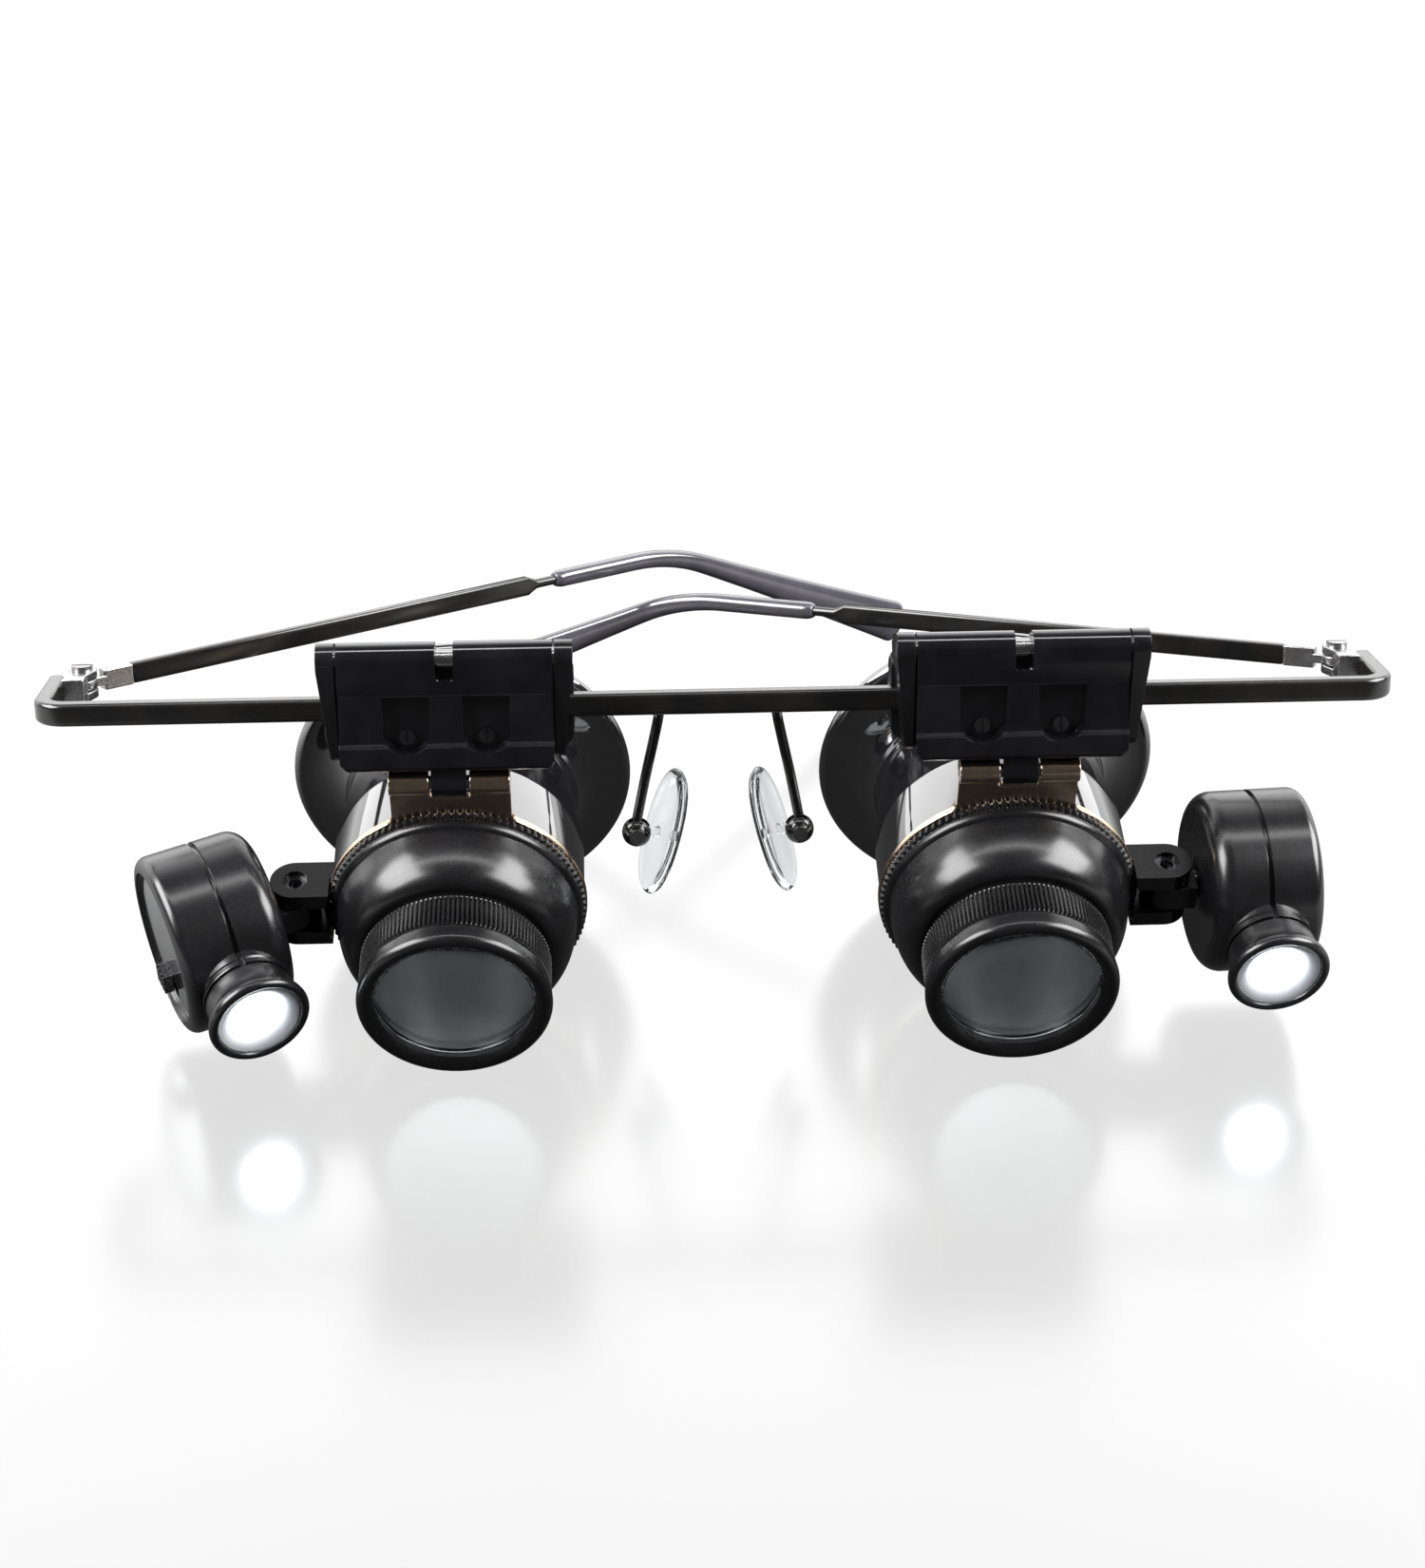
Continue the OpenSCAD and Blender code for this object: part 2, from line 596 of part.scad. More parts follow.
swivel_pin(LEFT);  // left_swivel_pin
swivel_pin(RIGHT);  // right_swivel_pin
lamp_yoke(LEFT);  // left_lamp_yoke
lamp_yoke(RIGHT);  // right_lamp_yoke
case_inner(LEFT);  // left_case_inner
case_inner(RIGHT);  // right_case_inner
case_outer(LEFT);  // left_case_outer
case_outer(RIGHT);  // right_case_outer
lamp_hood(LEFT);  // left_lamp_hood
lamp_hood(RIGHT);  // right_lamp_hood
led(LEFT);  // left_led
led(RIGHT);  // right_led
cells(LEFT);  // left_cells
cells(RIGHT);  // right_cells
lamp_cover(LEFT);  // left_lamp_cover
lamp_cover(RIGHT);  // right_lamp_cover
switch(LEFT);  // left_switch
switch(RIGHT);  // right_switch
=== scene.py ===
"""Dental loupes: the looks of two magnifier tubes with lamps on a spectacle frame.

Pieces are modelled in millimetres in the local axes of the part they belong to. Those axes come from
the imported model's joints and nodes, and the finished meshes are placed in metres in the row frame.
"""

import json
import math

import bmesh
import bpy
from mathutils import Matrix, Vector


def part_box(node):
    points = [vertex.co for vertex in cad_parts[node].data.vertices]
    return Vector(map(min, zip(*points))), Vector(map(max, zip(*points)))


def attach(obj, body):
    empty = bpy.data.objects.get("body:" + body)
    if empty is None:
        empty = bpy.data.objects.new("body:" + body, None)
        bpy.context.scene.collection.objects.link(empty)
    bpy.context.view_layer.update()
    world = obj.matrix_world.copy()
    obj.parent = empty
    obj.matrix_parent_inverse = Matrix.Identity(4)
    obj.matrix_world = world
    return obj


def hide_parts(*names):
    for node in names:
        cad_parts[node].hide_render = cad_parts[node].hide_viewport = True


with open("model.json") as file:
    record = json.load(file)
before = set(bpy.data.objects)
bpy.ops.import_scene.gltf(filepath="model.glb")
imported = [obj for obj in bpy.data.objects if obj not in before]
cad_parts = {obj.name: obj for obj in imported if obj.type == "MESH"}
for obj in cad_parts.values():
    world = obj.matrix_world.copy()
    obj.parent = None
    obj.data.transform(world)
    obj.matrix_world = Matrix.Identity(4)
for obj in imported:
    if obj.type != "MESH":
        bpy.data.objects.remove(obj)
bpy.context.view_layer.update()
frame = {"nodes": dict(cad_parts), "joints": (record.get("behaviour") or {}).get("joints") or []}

MM = 0.001
SIDES = {"left": -1, "right": 1}
JOINTS = {joint["name"]: joint for joint in frame["joints"]}

# ---- Sizes of the design, in millimetres ----

# Spectacle frame: bar, its bent ends, nose wires and pads, temples
BAR_T = 1.9
BAR_H = 2.4
BEND_R = 2.5
NOSE = Vector((8.6, 6, -16))
NOSE_WIRE_R = 0.55
NOSE_BALL_R = 1.6
PAD_SIZE = (1.2, 7.6, 14)
PAD_OUT = 2.75
PAD_LEAN = math.radians(16)
PAD_SPLAY = math.radians(20)
ROD_END = 61.5
ROD_T = 1.2
ROD_H = 2.2
SLEEVE = 12
HOOK_LEN = 47
HOOK_ANGLE = math.radians(23)
HOOK_R = 28
TIP_T = 2.1
TIP_END = 1.8

# Temple hinges: knuckle, screw hole, leaf and the gap that the tongue turns in
HINGE_R = 1.5
HINGE_HOLE_R = 0.62
LEAF_T = 0.9
LEAF_AT = (-1.5, 0.6)
TONGUE_T = 1.0

# Tube: radii, and stations along it from the eyecup's rim
FLARE_R = 18.5
WAIST_R = 12.2
BODY_R = 13.3
WALL = 1.2
BEAD_R = 0.9
WAIST_S = 5.5
CONE_S = 14
RING_S = 20.7
FLANGE_S = 21.5
FLANGE_R = 13.5
SHOULDER_R = 9.9
DOME_S = 29.4
CELL_S = 29.8
CELL_R = 10
OPENING_R = 8.1
BORE_R = 9.35
LOUPE_LEN = 36.4
LIP_T = 0.7
LIP_R = 0.9
TEETH = 96
TOOTH_DEPTH = 0.4
KNURLS = 124
KNURL_DEPTH = 0.45

# Lenses: radius, station of the back, station of the rim and height of the crown
FRONT_LENS = (8.3, 33.2, 34.8, 1.1)
EYE_LENS = (10.7, 16.2, 17.2, 1.6)

# Bracket: tilt pin above the axis, neck, curls and the gap between them
TILT_H = 17.2
NECK_H = 15.4
TAB_GAP = 4.1
TAB_W = 4.1
CURL_R = 1.35
CURL_HOLE_R = 0.72

# Clamp and cover, from the middle of the bar
CLAMP_W = 25.5
CLAMP_LOW = -4.6
CLAMP_FRONT = 2.5
CLAMP_BACK = 3.2
CHANNEL_GAP = 0.12
COVER_W = 21.5
NOTCH_W = 1.8
FLIP_Y = -4.6
FLIP_Z = 6.3
KNUCKLE_R = 1.75
RECESS_X = 4
RECESS_R = 2.4
TILT_Y = -4.4
TILT_KNUCKLE_R = 1.45

# Lamp: swivel on the tube, then everything from the swivel pin
SWIVEL_X = 16.9
SWIVEL_S = 20.75
CLEVIS_R = 2.6
CLEVIS_H = 7
TONGUE_H = 3
TONGUE_R = 2.4
CASE_GAP = 3.4
CASE_R = 9.6
CASE_W = 11.5
SHELL_R = 8.3
SHELL_T = 1.2
NECK_R = 4.6
HOOD_R = 5.3
NOSE_LEN = 14.4
LED_R = 2.45
FACE_R = 8.1

# Half lengths of cutting tools that pass right through a piece, and a distance beyond every piece
CUT = 20
FAR = 40

# ---- Light: the floor as seen and as it bounces, the wall behind and the room ----

FLOOR_WHITE = 0.9
FLOOR_GLOSS = 0.2
FLOOR_BOUNCE = 0.05
SIDE_BOUNCE = 1.0
WALL_LIGHT = 2.2
ROOM_LIGHT = 0.05
SOFTBOXES = {
    "left_softbox": ((-0.46, -0.08, 0.38), (0.5, 0.34), 8),
    "right_softbox": ((0.46, -0.08, 0.38), (0.5, 0.34), 8),
    "top_strip": ((0, -0.04, 0.5), (0.7, 0.06), 1.0),
}


# ---- Camera: lens in mm, eye in metres, angles in degrees ----

CAMERA_LENS = 64.28
CAMERA_AT = (-0.01107, -0.28207, 0.17145)
CAMERA_YAW = 2.37
CAMERA_DOWN = 29.86
CAMERA_ROLL = 0.03


# ---- Local axes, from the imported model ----

def direction(joint):
    return Vector(JOINTS[joint]["axis"]).normalized()


def anchor(joint):
    return Vector(JOINTS[joint]["pos_m"])


def axes(origin, x, y, z):
    turn = Matrix((x, y, z)).transposed().to_4x4()
    return Matrix.Translation(origin) @ turn


def local_box(node, place):
    """Lowest and highest corner of a CAD node in local axes, in metres."""
    back = place.inverted()
    points = [back @ v.co for v in frame["nodes"][node].data.vertices]
    low = Vector(min(p[i] for p in points) for i in range(3))
    high = Vector(max(p[i] for p in points) for i in range(3))
    return low, high


def frame_axes():
    """Middle of the front bar; Z along the temple hinges."""
    x, z = Vector((1, 0, 0)), direction("left_temple_fold")
    tilted = axes(Vector(), x, z.cross(x), z)
    low, high = local_box("front_bar", tilted)
    middle = Vector((0, low.y + BAR_T / 2 * MM, (low.z + high.z) / 2))
    return axes(tilted @ middle, x, z.cross(x), z)


def loupe_axes(side):
    """Middle of the eyecup's rim; -Y along the view, Z up through the tilt pin."""
    x, y = Vector((1, 0, 0)), -direction(f"{side}_focus_turn")
    place = axes(anchor(f"{side}_focus_turn"), x, y, x.cross(y))
    rim = local_box(f"{side}_eyecup", place)[1].y
    return axes(place @ Vector((0, rim, 0)), x, y, x.cross(y))


def lamp_axes(side):
    """Swivel pin, half way up the tongue; -Y along the beam, X outboard, so the left one is mirrored."""
    y = -direction(f"{side}_switch_slide")
    z = direction("left_lamp_swivel")
    return axes(anchor(f"{side}_lamp_swivel"), y.cross(z) * SIDES[side], y, z)


def temple_axes(side):
    """Temple hinge; X along the temple, Z up across its flat."""
    origin, up = anchor(f"{side}_temple_fold"), direction("left_temple_fold")
    points = [v.co for v in frame["nodes"][f"{side}_temple_rod"].data.vertices]
    far = max((p - origin).length for p in points)
    tip = [p for p in points if (p - origin).length > far - 0.0004]
    x = (sum(tip, Vector()) / len(tip) - origin).normalized()
    y = up.cross(x).normalized()
    return axes(origin, x, y, x.cross(y))


FRAME_PLACE = frame_axes()


# ---- Mesh building ----

PLANES = {
    "x": lambda u, v, w: (w, u, v),
    "y": lambda u, v, w: (u, w, v),
    "z": lambda u, v, w: (u, v, w),
}


def arc(centre, radii, start, end, steps):
    """Points of an elliptic arc, angles in degrees."""
    turns = [math.radians(start + (end - start) * i / steps) for i in range(steps + 1)]
    return [(centre[0] + radii[0] * math.cos(t), centre[1] + radii[1] * math.sin(t)) for t in turns]


def quarter(steps):
    """Angles from 0 to a quarter turn."""
    return [math.pi / 2 * k / steps for k in range(steps + 1)]


def rounded(u0, v0, u1, v1, radius, steps=6):
    """Rectangle with round corners."""
    corners = ((u1 - radius, v1 - radius, 0), (u0 + radius, v1 - radius, 90),
               (u0 + radius, v0 + radius, 180), (u1 - radius, v0 + radius, 270))
    points = []
    for u, v, start in corners:
        points += arc((u, v), (radius, radius), start, start + 90, steps)
    return points


def oval(width, height, power=2.0, count=32):
    """Outline between an ellipse (power 2) and a rectangle (higher power)."""
    points = []
    for k in range(count):
        turn = math.tau * k / count
        cos, sin = math.cos(turn), math.sin(turn)
        points.append((width / 2 * math.copysign(abs(cos) ** (2 / power), cos),
                       height / 2 * math.copysign(abs(sin) ** (2 / power), sin)))
    return points


def prism(outline, low, high, axis):
    """Solid with a flat outline, from low to high along an axis."""
    bm = bmesh.new()
    place = PLANES[axis]
    ends = [[bm.verts.new(place(u, v, w)) for u, v in outline] for w in (low, high)]
    for end in ends:
        bm.faces.new(end)
    for i in range(len(outline)):
        bm.faces.new((ends[0][i - 1], ends[0][i], ends[1][i], ends[1][i - 1]))
    bmesh.ops.recalc_face_normals(bm, faces=bm.faces)
    return bm


def cylinder(centre, radius, low, high, axis, steps=48):
    return prism(arc(centre, (radius, radius), 0, 360 - 360 / steps, steps - 1), low, high, axis)


def turned(outline, steps=128, ripple=None, axis="y"):
    """Solid turned from [radius, station] points, stations along -Y or +X.

    ripple(index, turn) is added to the radius of one point of the outline."""
    bm = bmesh.new()
    columns = []
    for k in range(steps):
        turn = math.tau * k / steps
        column = []
        for i, (radius, station) in enumerate(outline):
            r = radius + (ripple(i, turn) if ripple else 0)
            u, v = r * math.cos(turn), r * math.sin(turn)
            column.append(bm.verts.new((u, -station, v) if axis == "y" else (station, u, v)))
        columns.append(column)
    for k in range(steps):
        a, b = columns[k - 1], columns[k]
        for i in range(len(outline)):
            bm.faces.new((a[i - 1], a[i], b[i], b[i - 1]))
    bmesh.ops.remove_doubles(bm, verts=bm.verts, dist=1e-4)
    bmesh.ops.recalc_face_normals(bm, faces=bm.faces)
    return bm


def loft(rings):
    """Solid through rings of the same number of points, closed at both ends."""
    bm = bmesh.new()
    loops = [[bm.verts.new(p) for p in ring] for ring in rings]
    for a, b in zip(loops, loops[1:]):
        for i in range(len(a)):
            bm.faces.new((a[i - 1], a[i], b[i], b[i - 1]))
    for end in (loops[0], loops[-1]):
        bm.faces.new(end)
    bmesh.ops.recalc_face_normals(bm, faces=bm.faces)
    return bm


def wire(points, radius, steps=8, sides=16):
    """Round wire along a smooth line through the points."""
    knots = [points[0], *points, points[-1]]
    path = []
    for a, b, c, d in zip(knots, knots[1:], knots[2:], knots[3:]):
        for k in range(steps):
            t = k / steps
            path.append(0.5 * (2 * b + (c - a) * t + (2 * a - 5 * b + 4 * c - d) * t ** 2
                               + (3 * b - a - 3 * c + d) * t ** 3))
    path.append(points[-1])
    up = Vector((1, 0, 0))
    rings = []
    for i, p in enumerate(path):
        along = (path[min(i + 1, len(path) - 1)] - path[max(i - 1, 0)]).normalized()
        right = along.cross(up).normalized()
        up = right.cross(along)
        rings.append([p + right * u + up * v for u, v in oval(2 * radius, 2 * radius, 2, sides)])
    return loft(rings)


def as_object(bm, name="solid"):
    mesh = bpy.data.meshes.new(name)
    bm.to_mesh(mesh)
    bm.free()
    obj = bpy.data.objects.new(name, mesh)
    bpy.context.scene.collection.objects.link(obj)
    return obj


def carved(solids, tools=()):
    """One solid: all the solids joined, with the tools cut out of it."""
    base = as_object(solids[0])
    used = [base]
    for operation, group in (("UNION", solids[1:]), ("DIFFERENCE", tools)):
        for solid in group:
            other = as_object(solid)
            used.append(other)
            modifier = base.modifiers.new("carve", "BOOLEAN")
            modifier.operation = operation
            modifier.solver = "EXACT"
            modifier.object = other
    bm = bmesh.new()
    bm.from_object(base, bpy.context.evaluated_depsgraph_get())
    for obj in used:
        bpy.data.objects.remove(obj)
    bmesh.ops.remove_doubles(bm, verts=bm.verts, dist=1e-3)
    bmesh.ops.dissolve_limit(bm, angle_limit=math.radians(0.5), verts=bm.verts, edges=bm.edges)
    return bm


def merged(*solids):
    """Several solids in one mesh, left separate."""
    bm = bmesh.new()
    for solid in solids:
        mesh = bpy.data.meshes.new("solid")
        solid.to_mesh(mesh)
        solid.free()
        bm.from_mesh(mesh)
        bpy.data.meshes.remove(mesh)
    return bm


def moved(bm, matrix):
    bmesh.ops.transform(bm, matrix=matrix, verts=bm.verts)
    if matrix.determinant() < 0:
        bmesh.ops.reverse_faces(bm, faces=bm.faces)
    return bm


def mirrored(bm):
    return moved(bm, Matrix.Scale(-1, 4, (1, 0, 0)))


def shift(x=0.0, y=0.0, z=0.0):
    return Matrix.Translation((x, y, z))


def piece(name, bm, place, body, nodes, look, edge=0.0, segments=3):
    """Finished piece: shaded smooth across soft angles, with its sharp edges rounded by edge mm."""
    obj = as_object(moved(bm, place @ Matrix.Scale(MM, 4)), name)
    mesh = obj.data
    mesh.polygons.foreach_set("use_smooth", [True] * len(mesh.polygons))
    if edge:
        bevel = obj.modifiers.new("edges", "BEVEL")
        bevel.width = edge * MM
        bevel.segments = segments
        bevel.limit_method = "ANGLE"
        bevel.angle_limit = math.radians(35)
        bevel.miter_outer = "MITER_ARC"
        obj.modifiers.new("shading", "WEIGHTED_NORMAL").keep_sharp = True
    else:
        mesh.set_sharp_from_angle(angle=math.radians(40))
    mesh.materials.append(look)
    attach(obj, body)
    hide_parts(*nodes)
    return obj


# ---- Materials ----

def finish(slot, name, colour, drift, rough, grain=0.15, bump=0.0, stretch=(1, 1, 1), **fixed):
    """Procedural finish: the colour drifts between two shades, fine noise varies roughness and surface.

    colour and drift are the two shades, rough the two roughness limits, grain the noise size in mm."""
    mat = bpy.data.materials.new(name)
    mat["slot"] = slot
    mat.use_nodes = True
    nodes, links = mat.node_tree.nodes, mat.node_tree.links
    shader = nodes["Principled BSDF"]
    for socket, value in fixed.items():
        shader.inputs[socket.replace("_", " ")].default_value = value
    coords = nodes.new("ShaderNodeTexCoord")
    mapping = nodes.new("ShaderNodeMapping")
    mapping.inputs["Scale"].default_value = stretch
    links.new(coords.outputs["Object"], mapping.inputs["Vector"])

    cloud = nodes.new("ShaderNodeTexNoise")
    cloud.inputs["Scale"].default_value = 1 / (4 * MM)
    cloud.inputs["Detail"].default_value = 3
    shades = nodes.new("ShaderNodeValToRGB")
    shades.color_ramp.elements[0].position = 0.35
    shades.color_ramp.elements[1].position = 0.7
    shades.color_ramp.elements[0].color = (*colour, 1)
    shades.color_ramp.elements[1].color = (*drift, 1)
    links.new(mapping.outputs["Vector"], cloud.inputs["Vector"])
    links.new(cloud.outputs["Fac"], shades.inputs["Fac"])
    links.new(shades.outputs["Color"], shader.inputs["Base Color"])

    fine = nodes.new("ShaderNodeTexNoise")
    fine.inputs["Scale"].default_value = 1 / (grain * MM)
    fine.inputs["Detail"].default_value = 4
    limits = nodes.new("ShaderNodeMapRange")
    limits.inputs["From Min"].default_value = 0.3
    limits.inputs["From Max"].default_value = 0.7
    limits.inputs["To Min"].default_value = rough[0]
    limits.inputs["To Max"].default_value = rough[1]
    links.new(mapping.outputs["Vector"], fine.inputs["Vector"])
    links.new(fine.outputs["Fac"], limits.inputs["Value"])
    links.new(limits.outputs["Result"], shader.inputs["Roughness"])
    if bump:
        relief = nodes.new("ShaderNodeBump")
        relief.inputs["Strength"].default_value = bump
        relief.inputs["Distance"].default_value = 0.02 * MM
        links.new(fine.outputs["Fac"], relief.inputs["Height"])
        links.new(relief.outputs["Normal"], shader.inputs["Normal"])
    return mat


LOOK = {
    "lacquer": finish("black_metal", "satin_black_lacquer", (0.006, 0.006, 0.006), (0.013, 0.011, 0.01),
                      (0.18, 0.26), grain=0.4, Coat_Weight=0.3, Coat_Roughness=0.12),
    "nickel": finish("bright_metal", "polished_nickel", (0.5, 0.5, 0.51), (0.34, 0.33, 0.33),
                     (0.2, 0.34), grain=0.12, bump=0.05, Metallic=1.0),
    "smoke": finish("grey_plastic", "smoky_grey_plastic", (0.06, 0.058, 0.068), (0.085, 0.08, 0.095),
                    (0.1, 0.16), grain=0.3, Transmission_Weight=0.12, IOR=1.49,
                    Coat_Weight=0.6, Coat_Roughness=0.06),
    "silicone": finish("clear_silicone", "clear_silicone", (0.93, 0.95, 0.96), (0.88, 0.9, 0.91),
                       (0.04, 0.1), grain=0.3, Transmission_Weight=1.0, IOR=1.42),
    "clamp": finish("clamp_black", "moulded_black_clamp", (0.004, 0.004, 0.0045), (0.008, 0.0075, 0.009),
                    (0.15, 0.19), grain=0.6, Coat_Weight=0.4, Coat_Roughness=0.08, IOR=1.55),
    "cover": finish("clamp_black", "glossy_black_cover", (0.003, 0.003, 0.004), (0.007, 0.0065, 0.008),
                    (0.1, 0.13), grain=0.6, Coat_Weight=0.5, Coat_Roughness=0.05, IOR=1.6),
    "screw": finish("dark_screw", "dark_steel", (0.2, 0.2, 0.21), (0.1, 0.1, 0.11),
                    (0.2, 0.35), grain=0.06, bump=0.2, Metallic=1.0),
    "gold": finish("bracket_gold", "pale_gold_plate", (0.88, 0.7, 0.52), (0.78, 0.6, 0.43),
                   (0.12, 0.22), grain=0.1, bump=0.15, stretch=(6, 1, 1), Metallic=1.0),
    "eyecup": finish("gloss_black", "mirror_black_enamel", (0.006, 0.006, 0.007), (0.011, 0.0105, 0.0125),
                     (0.05, 0.09), grain=0.5, Coat_Weight=1.0, Coat_Roughness=0.03, IOR=2.8),
    "tube": finish("tube_black", "satin_black_barrel", (0.004, 0.004, 0.0045), (0.008, 0.0075, 0.0085),
                   (0.26, 0.29), grain=0.6, Coat_Weight=0.2, Coat_Roughness=0.18, Specular_IOR_Level=0.42),
    "glass": finish("lens_glass", "coated_lens_glass", (0.86, 0.88, 0.9), (0.9, 0.92, 0.93),
                    (0.0, 0.004), grain=0.6, Transmission_Weight=1.0, IOR=1.5),
    "lamp": finish("lamp_black", "moulded_black_lamp", (0.005, 0.005, 0.0055), (0.009, 0.0085, 0.01),
                   (0.25, 0.28), grain=0.6, Coat_Weight=0.2, Coat_Roughness=0.18),
    "bowl": finish("lamp_black", "satin_white_bowl", (0.62, 0.63, 0.66), (0.5, 0.51, 0.54),
                   (0.4, 0.5), grain=0.4),
    "sleeve": finish("tube_black", "anodised_bore", (0.16, 0.16, 0.17), (0.11, 0.11, 0.12),
                     (0.3, 0.34), grain=0.8, Metallic=0.8),
    "led": finish("led_white", "lit_led", (0.95, 0.97, 1.0), (0.9, 0.93, 1.0),
                  (0.1, 0.2), grain=0.3, Emission_Color=(0.9, 0.96, 1, 1), Emission_Strength=9.0),
    "silver": finish("lamp_silver", "mirror_silver", (0.86, 0.87, 0.89), (0.78, 0.79, 0.81),
                     (0.06, 0.14), grain=0.1, bump=0.05, Metallic=1.0),
}


# ---- Spectacle frame ----

def front_bar():
    """Flat bar with both ends bent back to the hinges."""
    end_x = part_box("front_bar")[1].x / MM
    end_y = local_box("front_bar", FRAME_PLACE)[1].y / MM
    outer, inner = BEND_R + BAR_T / 2, BEND_R - BAR_T / 2
    outline = [(end_x, end_y), (end_x - BAR_T, end_y)]
    outline += arc((end_x - outer, outer - BAR_T / 2), (inner, inner), 0, -90, 8)
    outline += [(-u, v) for u, v in reversed(outline)]
    outline += arc((outer - end_x, outer - BAR_T / 2), (outer, outer), 180, 270, 12)
    outline += arc((end_x - outer, outer - BAR_T / 2), (outer, outer), 270, 360, 12)
    bm = prism(outline, -BAR_H / 2, BAR_H / 2, "z")
    piece("front_bar_skin", bm, FRAME_PLACE, "frame", ["front_bar"], LOOK["lacquer"], 0.5, 4)


def nose_arms():
    """Two wires with a slotted ball-shaped box each."""
    solids = []
    for side in SIDES.values():
        box = Vector((side * NOSE.x, NOSE.y, NOSE.z))
        points = [Vector((side * 5.9, BAR_T / 2 - 0.3, -0.5)), Vector((side * 5.9, 1.7, -0.5)),
                  Vector((side * 6.05, 3.1, -1.5)), Vector((side * 6.35, 4.05, -3.6)),
                  Vector((side * 7.6, 5.0, -9.5)), box + Vector((0, 0, 1.3))]
        solids.append(wire(points, NOSE_WIRE_R))
        round_end = arc((0, 0), (NOSE_BALL_R, NOSE_BALL_R), -80, 80, 12)
        ball = turned([(0, -NOSE_BALL_R), *round_end, (0, NOSE_BALL_R)], 32)
        slot = prism(rounded(-0.6, -2.6, 0.6, 2.6, 0.1), 0.9 * side, -5 * side, "x")
        solids.append(moved(carved([ball], [slot]), Matrix.Translation(box)))
    piece("nose_wires", merged(*solids), FRAME_PLACE, "frame", ["nose_arms"], LOOK["lacquer"], 0.1, 2)


def nose_pad(side):
    """Soft clear oval, crowned towards the nose, on its moulded tab."""
    thick, width, length = PAD_SIZE
    rings = []
    for k in range(13):
        turn = math.pi * (k / 12 - 0.5)
        shrink = 1 - 0.5 * thick * (1 - math.cos(turn)) / (width / 2)
        points = []
        for u, v in oval(width * shrink, length * shrink, 2.3, 48):
            points.append(Vector((thick / 2 * math.sin(turn), u, v)))
        rings.append(points)
    lean = Matrix.Rotation(PAD_LEAN, 4, "Y") @ Matrix.Rotation(PAD_SPLAY, 4, "Z")
    pad = moved(loft(rings), shift(PAD_OUT) @ lean)
    hub_r, hole_r, half = 0.85, 0.55, 0.4
    hub = cylinder((0, 0), hub_r, -half, half, "y", 32)
    tab = prism(rounded(0, -0.5, PAD_OUT - 0.05, 0.5, 0.2), -half, half, "y")
    bm = merged(pad, carved([hub, tab], [cylinder((0, 0), hole_r, -2, 2, "y", 24)]))
    at = shift(SIDES[side] * NOSE.x, NOSE.y, NOSE.z)
    if SIDES[side] > 0:
        bm = mirrored(bm)
    piece(f"{side}_clear_pad", moved(bm, at), FRAME_PLACE, f"{side}_pad", [f"{side}_nose_pad"],
          LOOK["silicone"])


def frame_hinges():
    """Two knuckle leaves and a foot at each end of the bar."""
    hinge_x = abs(anchor("left_temple_fold").x) / MM
    hinge_y = (FRAME_PLACE.inverted() @ anchor("left_temple_fold")).y / MM
    inner_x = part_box("front_bar")[1].x / MM - BAR_T
    foot_x = hinge_x - 0.8
    solids = []
    for side in SIDES.values():
        leaf = arc((hinge_x, hinge_y), (HINGE_R, HINGE_R), -30, 200, 20)
        leaf += [(foot_x, hinge_y - 2.2), (inner_x + 0.3, hinge_y - 2.2)]
        for low in LEAF_AT:
            hole = cylinder((hinge_x, hinge_y), HINGE_HOLE_R, -3, 3, "z", 24)
            solids.append(carved([prism(leaf, low, low + LEAF_T, "z")], [hole]))
            if side < 0:
                mirrored(solids[-1])
        foot = prism([(foot_x, hinge_y - 4.2), (inner_x + 0.05, hinge_y - 4.2),
                      (inner_x + 0.05, hinge_y - 1.9), (foot_x, hinge_y - 1.9)],
                     -HINGE_R, HINGE_R, "z")
        solids.append(foot if side > 0 else mirrored(foot))
    piece("frame_hinge_leaves", merged(*solids), FRAME_PLACE, "frame", ["frame_hinges"],
          LOOK["nickel"], 0.12, 2)


# ---- Temples ----

def temple_hinge(side, place):
    eye = arc((0, 0), (1.45, 1.45), 30, 330, 24) + [(3.2, -0.7), (3.2, 0.7)]
    leaf = carved([prism(eye, -TONGUE_T / 2, TONGUE_T / 2, "z")],
                  [cylinder((0, 0), 0.65, -2, 2, "z", 24)])
    plate = prism(rounded(2.2, -0.7, 5.6, 0.7, 0.2), -1.1, 1.1, "z")
    piece(f"{side}_hinge_tongue", merged(leaf, plate), place, f"{side}_temple",
          [f"{side}_temple_hinge"], LOOK["nickel"], 0.12, 2)


def temple_rod(side, place):
    """Flat bar that narrows to a round neck inside the sleeve."""
    rings = []
    neck = ROD_END - 3.4
    sections = [(5.6, 1.0, 1.9, 6), (5.8, ROD_T, ROD_H, 6), (neck - 0.6, ROD_T, ROD_H, 6),
                (neck + 0.2, 1.15, 1.5, 3), (neck + 0.8, 1.1, 1.1, 2), (ROD_END + 3.9, 1.1, 1.1, 2)]
    for x, width, height, power in sections:
        rings.append([Vector((x, u, v)) for u, v in oval(width, height, power, 48)])
    piece(f"{side}_temple_bar", loft(rings), place, f"{side}_temple", [f"{side}_temple_rod"],
          LOOK["lacquer"])


